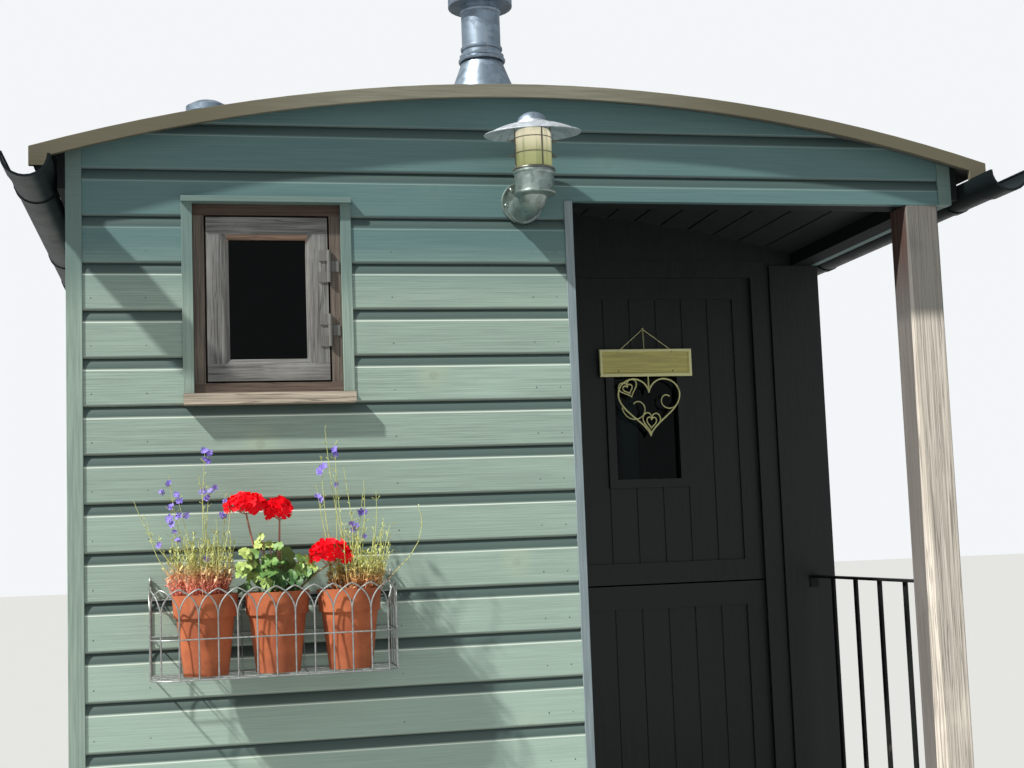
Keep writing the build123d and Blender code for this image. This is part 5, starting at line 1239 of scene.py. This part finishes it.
def set_out_pieces(name, spots, pattern, finish, slot=None, **sizes):
    """A copy of the pattern at each spot, given as (place, way it faces), as one plain mesh."""
    mesh = bpy.data.meshes.new(name)
    mesh.from_pydata([tuple(place) for place, _ in spots], [], [])
    facing = mesh.attributes.new("facing", "FLOAT_VECTOR", "POINT")
    for item, (_, way) in zip(facing.data, spots):
        item.vector = way
    holder = add_object(name + "_spots", mesh)
    pattern_mesh = bpy.data.meshes.new(name + "_pattern")
    pattern_mesh.from_pydata([tuple(point) for point in pattern.points], [], pattern.faces)
    pattern_piece = add_object(name + "_pattern", pattern_mesh)
    step = holder.modifiers.new("set out", "NODES")
    step.node_group = set_out
    values = {"Piece": pattern_piece, "Finish": finishes[finish], **sizes}
    for item in set_out.interface.items_tree:
        if item.in_out == "INPUT" and item.name in values:
            step[item.identifier] = values[item.name]
    bpy.context.view_layer.update()
    shown = holder.evaluated_get(bpy.context.evaluated_depsgraph_get())
    result = bpy.data.meshes.new_from_object(shown)
    for leftover in (holder, pattern_piece):
        bpy.data.objects.remove(leftover)
    result.name = name
    smooth(result, 60.0)
    return place_piece(name, result, finish)


def floret(petals, radius, width, cup):
    """A small flower of rounded petals that opens upwards."""
    shape = Shape()
    for index in range(petals):
        turn = full_turn * index / petals
        out = Vector((math.cos(turn), math.sin(turn), 0))
        side = Vector((-math.sin(turn), math.cos(turn), 0))
        rise = Vector((0, 0, 1))
        points = [Vector((0, 0, 0)), out * radius * 0.45 + side * width * 0.7 + rise * cup * 0.5,
                  out * radius * 0.85 + side * width + rise * cup, out * radius + rise * cup * 0.8,
                  out * radius * 0.85 - side * width + rise * cup,
                  out * radius * 0.45 - side * width * 0.7 + rise * cup * 0.5,
                  out * radius * 0.6 + rise * cup * 0.35]
        shape.add(points, [(0, 1, 6), (1, 2, 6), (2, 3, 6), (3, 4, 6), (4, 5, 6), (5, 0, 6)])
    return shape


# The florets cover a head from its top down, each turned by the golden angle from the last
golden_angle = 2.39996
head_cover = 1.25
red_spots = []
for x, z, half, high, count in heads:
    for index in range(count):
        level = 1 - head_cover * (index + 0.5) / count
        ring = math.sqrt(max(0.0, 1 - level * level))
        turn = index * golden_angle
        way = Vector((ring * math.cos(turn), ring * math.sin(turn), level))
        spot = Vector((x + way.x * half, head_y + way.y * half * 0.75, z + way.z * high))
        red_spots.append((spot, way))
set_out_pieces("red_florets", red_spots, floret(5, 0.0140, 0.0060, 0.0040), "red petal",
               **{"Least size": 0.7, "Most size": 1.3, "Tilt": 0.7, "Seed": 3})
violet_spots = [(spot, Vector((dice.uniform(-0.6, 0.6), -1.0, dice.uniform(-0.2, 0.6))))
                for spot in bloom_spots]
set_out_pieces("violet_florets", violet_spots, floret(5, 0.0080, 0.0030, 0.002), "violet petal",
               **{"Least size": 0.7, "Most size": 1.25, "Tilt": 0.6, "Seed": 5})


# Nails in the front boards: one in each row at each of these x, a little above the row's foot
nail = Shape()
nail.lathe([(pole, 0.0010), (0.0016, 0.0008), (0.0024, 0.0002), (0.0024, -0.0010), (pole, -0.0010)],
           (0, 0), 8)
finishes["nail"] = plain_metal(
    "nail_heads", (0.085, 0.10, 0.09), 0.5, chips=(0.22, 0.12, 0.07), chip_share=0.8)
nail_rows, nail_xs, nail_above_foot = range(1, 18), (-1.165, -1.03, -0.40, -0.02, 0.045), 0.032
nail_spots = []
for row in nail_rows:
    z = top_line - board_cover * (row + 1) + nail_above_foot
    for x in nail_xs:
        nail_spots.append((Vector((x, board_front + 0.0005, z)), Vector((0, -1, 0))))
set_out_pieces("board_nails", nail_spots, nail, "nail", "green_boards",
               **{"Least size": 0.85, "Most size": 1.1, "Tilt": 0.02, "Seed": 2})


# Hanging sign on the upper door leaf: a plaque on two strings from a pin, with a heart of scrolls under it
sign_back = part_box("door_upper_leaf")[0].y - 0.0035
hook = Vector((0.579, sign_back - 0.006, 2.462))
# the plaque's lower left and upper right corner, as (x, z)
sign_low, sign_high = (0.423, 2.301), (0.747, 2.394)


def sunk_board(low, high, back, thick, chamfer, rim, sunk):
    """A flat board with chamfered front edges and a field sunk a little inside its rim."""
    front = back - thick
    points = []
    for inset, y in ((0.0, back), (0.0, front + chamfer), (chamfer, front), (rim, front),
                     (rim + chamfer, front + sunk)):
        left, foot, right, head = low[0] + inset, low[1] + inset, high[0] - inset, high[1] - inset
        points += [(left, y, foot), (right, y, foot), (right, y, head), (left, y, head)]
    return Shape().add(points, [(3, 2, 1, 0), (16, 17, 18, 19)] + ring_faces(5, 4))


def frame_zone(f):
    """The paler bevelled frame of the plaque."""
    near, far = 0.0075, 0.0095
    inside = [value.rise(low + near, low + far) * (1.0 - value.rise(high - far, high - near))
              for value, low, high in ((f.x, sign_low[0], sign_high[0]), (f.z, sign_low[1], sign_high[1]))]
    return 1.0 - inside[0] * inside[1]


finishes["plaque"] = sawn_paint("cream_plaque", (0.60, 0.54, 0.185), "x", sheen=0.6, wear=0.3,
                                other=(0.86, 0.86, 0.46), share=frame_zone)
sign = sunk_board(sign_low, sign_high, sign_back, thick=0.012, chamfer=0.002, rim=0.012, sunk=0.0015)
make_piece("sign_board", sign, "plaque", body="door_upper", angle=20.0)
pins = Shape()
pin_xs, pin_zs = (0.4872, 0.6782), (2.3832, 2.3190)
for x in pin_xs:
    for z in pin_zs:
        pins.tube([(x, sign_back - 0.0095, z), (x, sign_back - 0.0118, z), (x, sign_back - 0.0126, z)],
                  [0.0026, 0.0026, 0.0014], 10)
make_piece("sign_pins", pins, "pin", body="door_upper")
# the two strings, the flat tape between them and the pin that they hang from
cords = Shape()
string_xs, string_z, string_end = (0.487, 0.680), 2.385, 2.380
for x in string_xs:
    cords.tube([hook, (x, sign_back - 0.0135, string_z), (x, sign_back - 0.0135, string_end)], 0.0011, 6)
cords.tube([(hook.x, hook.y, hook.z), (0.5815, sign_back - 0.003, 2.392)], 0.0040, 6, flat=0.4)
cords.tube([(hook.x, sign_back + 0.004, hook.z + 0.002), (hook.x, sign_back - 0.010, hook.z + 0.002)],
           0.0022, 10)
make_piece("sign_cords", cords, "cream", body="door_upper")


def heart_route(centre, half, high, steps, lean=0.0):
    """The outline of a heart as a closed line, by the usual heart curve."""
    route = []
    for index in range(steps):
        turn = full_turn * index / steps
        up = (13 * math.cos(turn) - 5 * math.cos(2 * turn) - 2 * math.cos(3 * turn)
              - math.cos(4 * turn) + 2.5) / 15
        x = math.sin(turn) ** 3 * half
        z = up * high
        route.append((centre[0] + x * math.cos(lean) - z * math.sin(lean), sign_back - 0.006,
                      centre[1] + x * math.sin(lean) + z * math.cos(lean)))
    return route


hearts = Shape()
heart_centre = (0.5915, 2.196)
hearts.tube(heart_route(heart_centre, 0.1085, 0.1005, 56), 0.0046, 10, closed=True, flat=0.6)
# two pairs of small hearts inside it: centre, half width, height, lean in radians
small_hearts = (((0.521, 2.258), 0.033, 0.030, 0.35), ((0.519, 2.257), 0.017, 0.016, 0.35),
                ((0.596, 2.142), 0.031, 0.036, -0.08), ((0.596, 2.143), 0.017, 0.020, -0.08))
for centre, half, high, lean in small_hearts:
    hearts.tube(heart_route(centre, half, high, 32, lean), 0.0036, 8, closed=True, flat=0.6)
# plain curls between the hearts: middle, radius, half turns, angle at the start
curls = (((0.545, 2.196), 0.050, 1.7, math.pi), ((0.657, 2.222), 0.038, -1.7, 0.0))
for middle, size, turns, start in curls:
    scroll = []
    for index in range(24):
        share = index / 23
        turn = start + share * turns * math.pi
        away = size * (1 - share * 0.70)
        scroll.append((middle[0] + away * math.cos(turn), sign_back - 0.006,
                       middle[1] + away * math.sin(turn)))
    hearts.tube(scroll, 0.0032, 8, flat=0.6)
# the tab that joins the heart to the plaque
hearts.tube([(heart_centre[0], sign_back - 0.006, 2.262), (heart_centre[0], sign_back - 0.004, 2.305)],
            0.0040, 8, flat=0.6)
make_piece("heart_scrollwork", hearts, "cream", body="door_upper")


# Floor, light and camera
def stage_finish(name, colour):
    """A dull, nearly even colour for the studio."""
    f = Finish(name)
    patch = f.noise(0.6, detail=2.0)
    return f.surface(f.mix(shade(colour, 0.99), colour, patch), 0.9)


floor_mesh = bpy.data.meshes.new("studio_floor")
floor_reach = 60.0
floor_corners = [(x * floor_reach, y * floor_reach, 0) for x, y in ((-1, -1), (1, -1), (1, 1), (-1, 1))]
floor_mesh.from_pydata(floor_corners, [], [(0, 1, 2, 3)])
floor_mesh.materials.append(stage_finish("studio_floor", (0.42, 0.42, 0.415)))
studio_floor = add_object("studio_floor", floor_mesh)

# the studio's world lights the hut softly, and the camera and the panes see it pale
world = bpy.data.worlds.new("studio")
bpy.context.scene.world = world
world.use_nodes = True
world.node_tree.nodes.clear()
make, link = world.node_tree.nodes.new, world.node_tree.links.new
path = make("ShaderNodeLightPath")
seen = make("ShaderNodeMath")
seen.operation = "MAXIMUM"
link(path.outputs["Is Camera Ray"], seen.inputs[0])
link(path.outputs["Is Transmission Ray"], seen.inputs[1])
soft_light, pale = make("ShaderNodeBackground"), make("ShaderNodeBackground")
soft_light.inputs["Color"].default_value = (0.88, 0.96, 1.0, 1)
soft_light.inputs["Strength"].default_value = 0.42
pale.inputs["Color"].default_value = (0.90, 0.92, 0.94, 1)
pale.inputs["Strength"].default_value = 1.0
blend = make("ShaderNodeMixShader")
link(seen.outputs["Value"], blend.inputs["Fac"])
link(soft_light.outputs["Background"], blend.inputs[1])
link(pale.outputs["Background"], blend.inputs[2])
end = make("ShaderNodeOutputWorld")
link(blend.outputs["Shader"], end.inputs["Surface"])

suns = [
    # name, way the light travels, strength, softness in degrees, colour
    ("key_light", (0.62, 0.29, -0.73), 6.4, 2.0, (1.0, 0.975, 0.93)),
    ("fill_light", (-0.10, 0.93, -0.35), 0.15, 70.0, (0.95, 0.98, 1.0)),
]
for name, travel, strength, softness, colour in suns:
    sun = bpy.data.lights.new(name, "SUN")
    sun.energy = strength
    sun.angle = math.radians(softness)
    sun.color = colour
    lamp = add_object(name, sun)
    lamp.rotation_mode = "QUATERNION"
    lamp.rotation_quaternion = Vector(travel).to_track_quat("-Z", "Y")

# the photograph's viewpoint: where the camera stands, and its pitch, yaw and roll in degrees
camera_place = (-0.9149, front_face - 3.8245, 1.7804)
camera_angles = (-5.858, -12.217, -2.119)
camera_data = bpy.data.cameras.new("photo_view")
camera_data.sensor_width = 36.0
camera_data.lens = 52.03
camera_data.clip_end = 200.0
camera = add_object("photo_view", camera_data)
pitch_angle, yaw_angle, roll_angle = (math.radians(degrees) for degrees in camera_angles)
# a level view along +Y, which the three angles then turn
level = Matrix(((1, 0, 0), (0, 0, -1), (0, 1, 0)))
look = (Matrix.Rotation(roll_angle, 3, "Z") @ Matrix.Rotation(pitch_angle, 3, "X")
        @ Matrix.Rotation(yaw_angle, 3, "Y") @ level)
turn = Matrix((look[0], -look[1], -look[2])).transposed()
camera.matrix_world = Matrix.Translation(camera_place) @ turn.to_4x4()
bpy.context.scene.camera = camera
bpy.context.scene.view_settings.view_transform = "Standard"
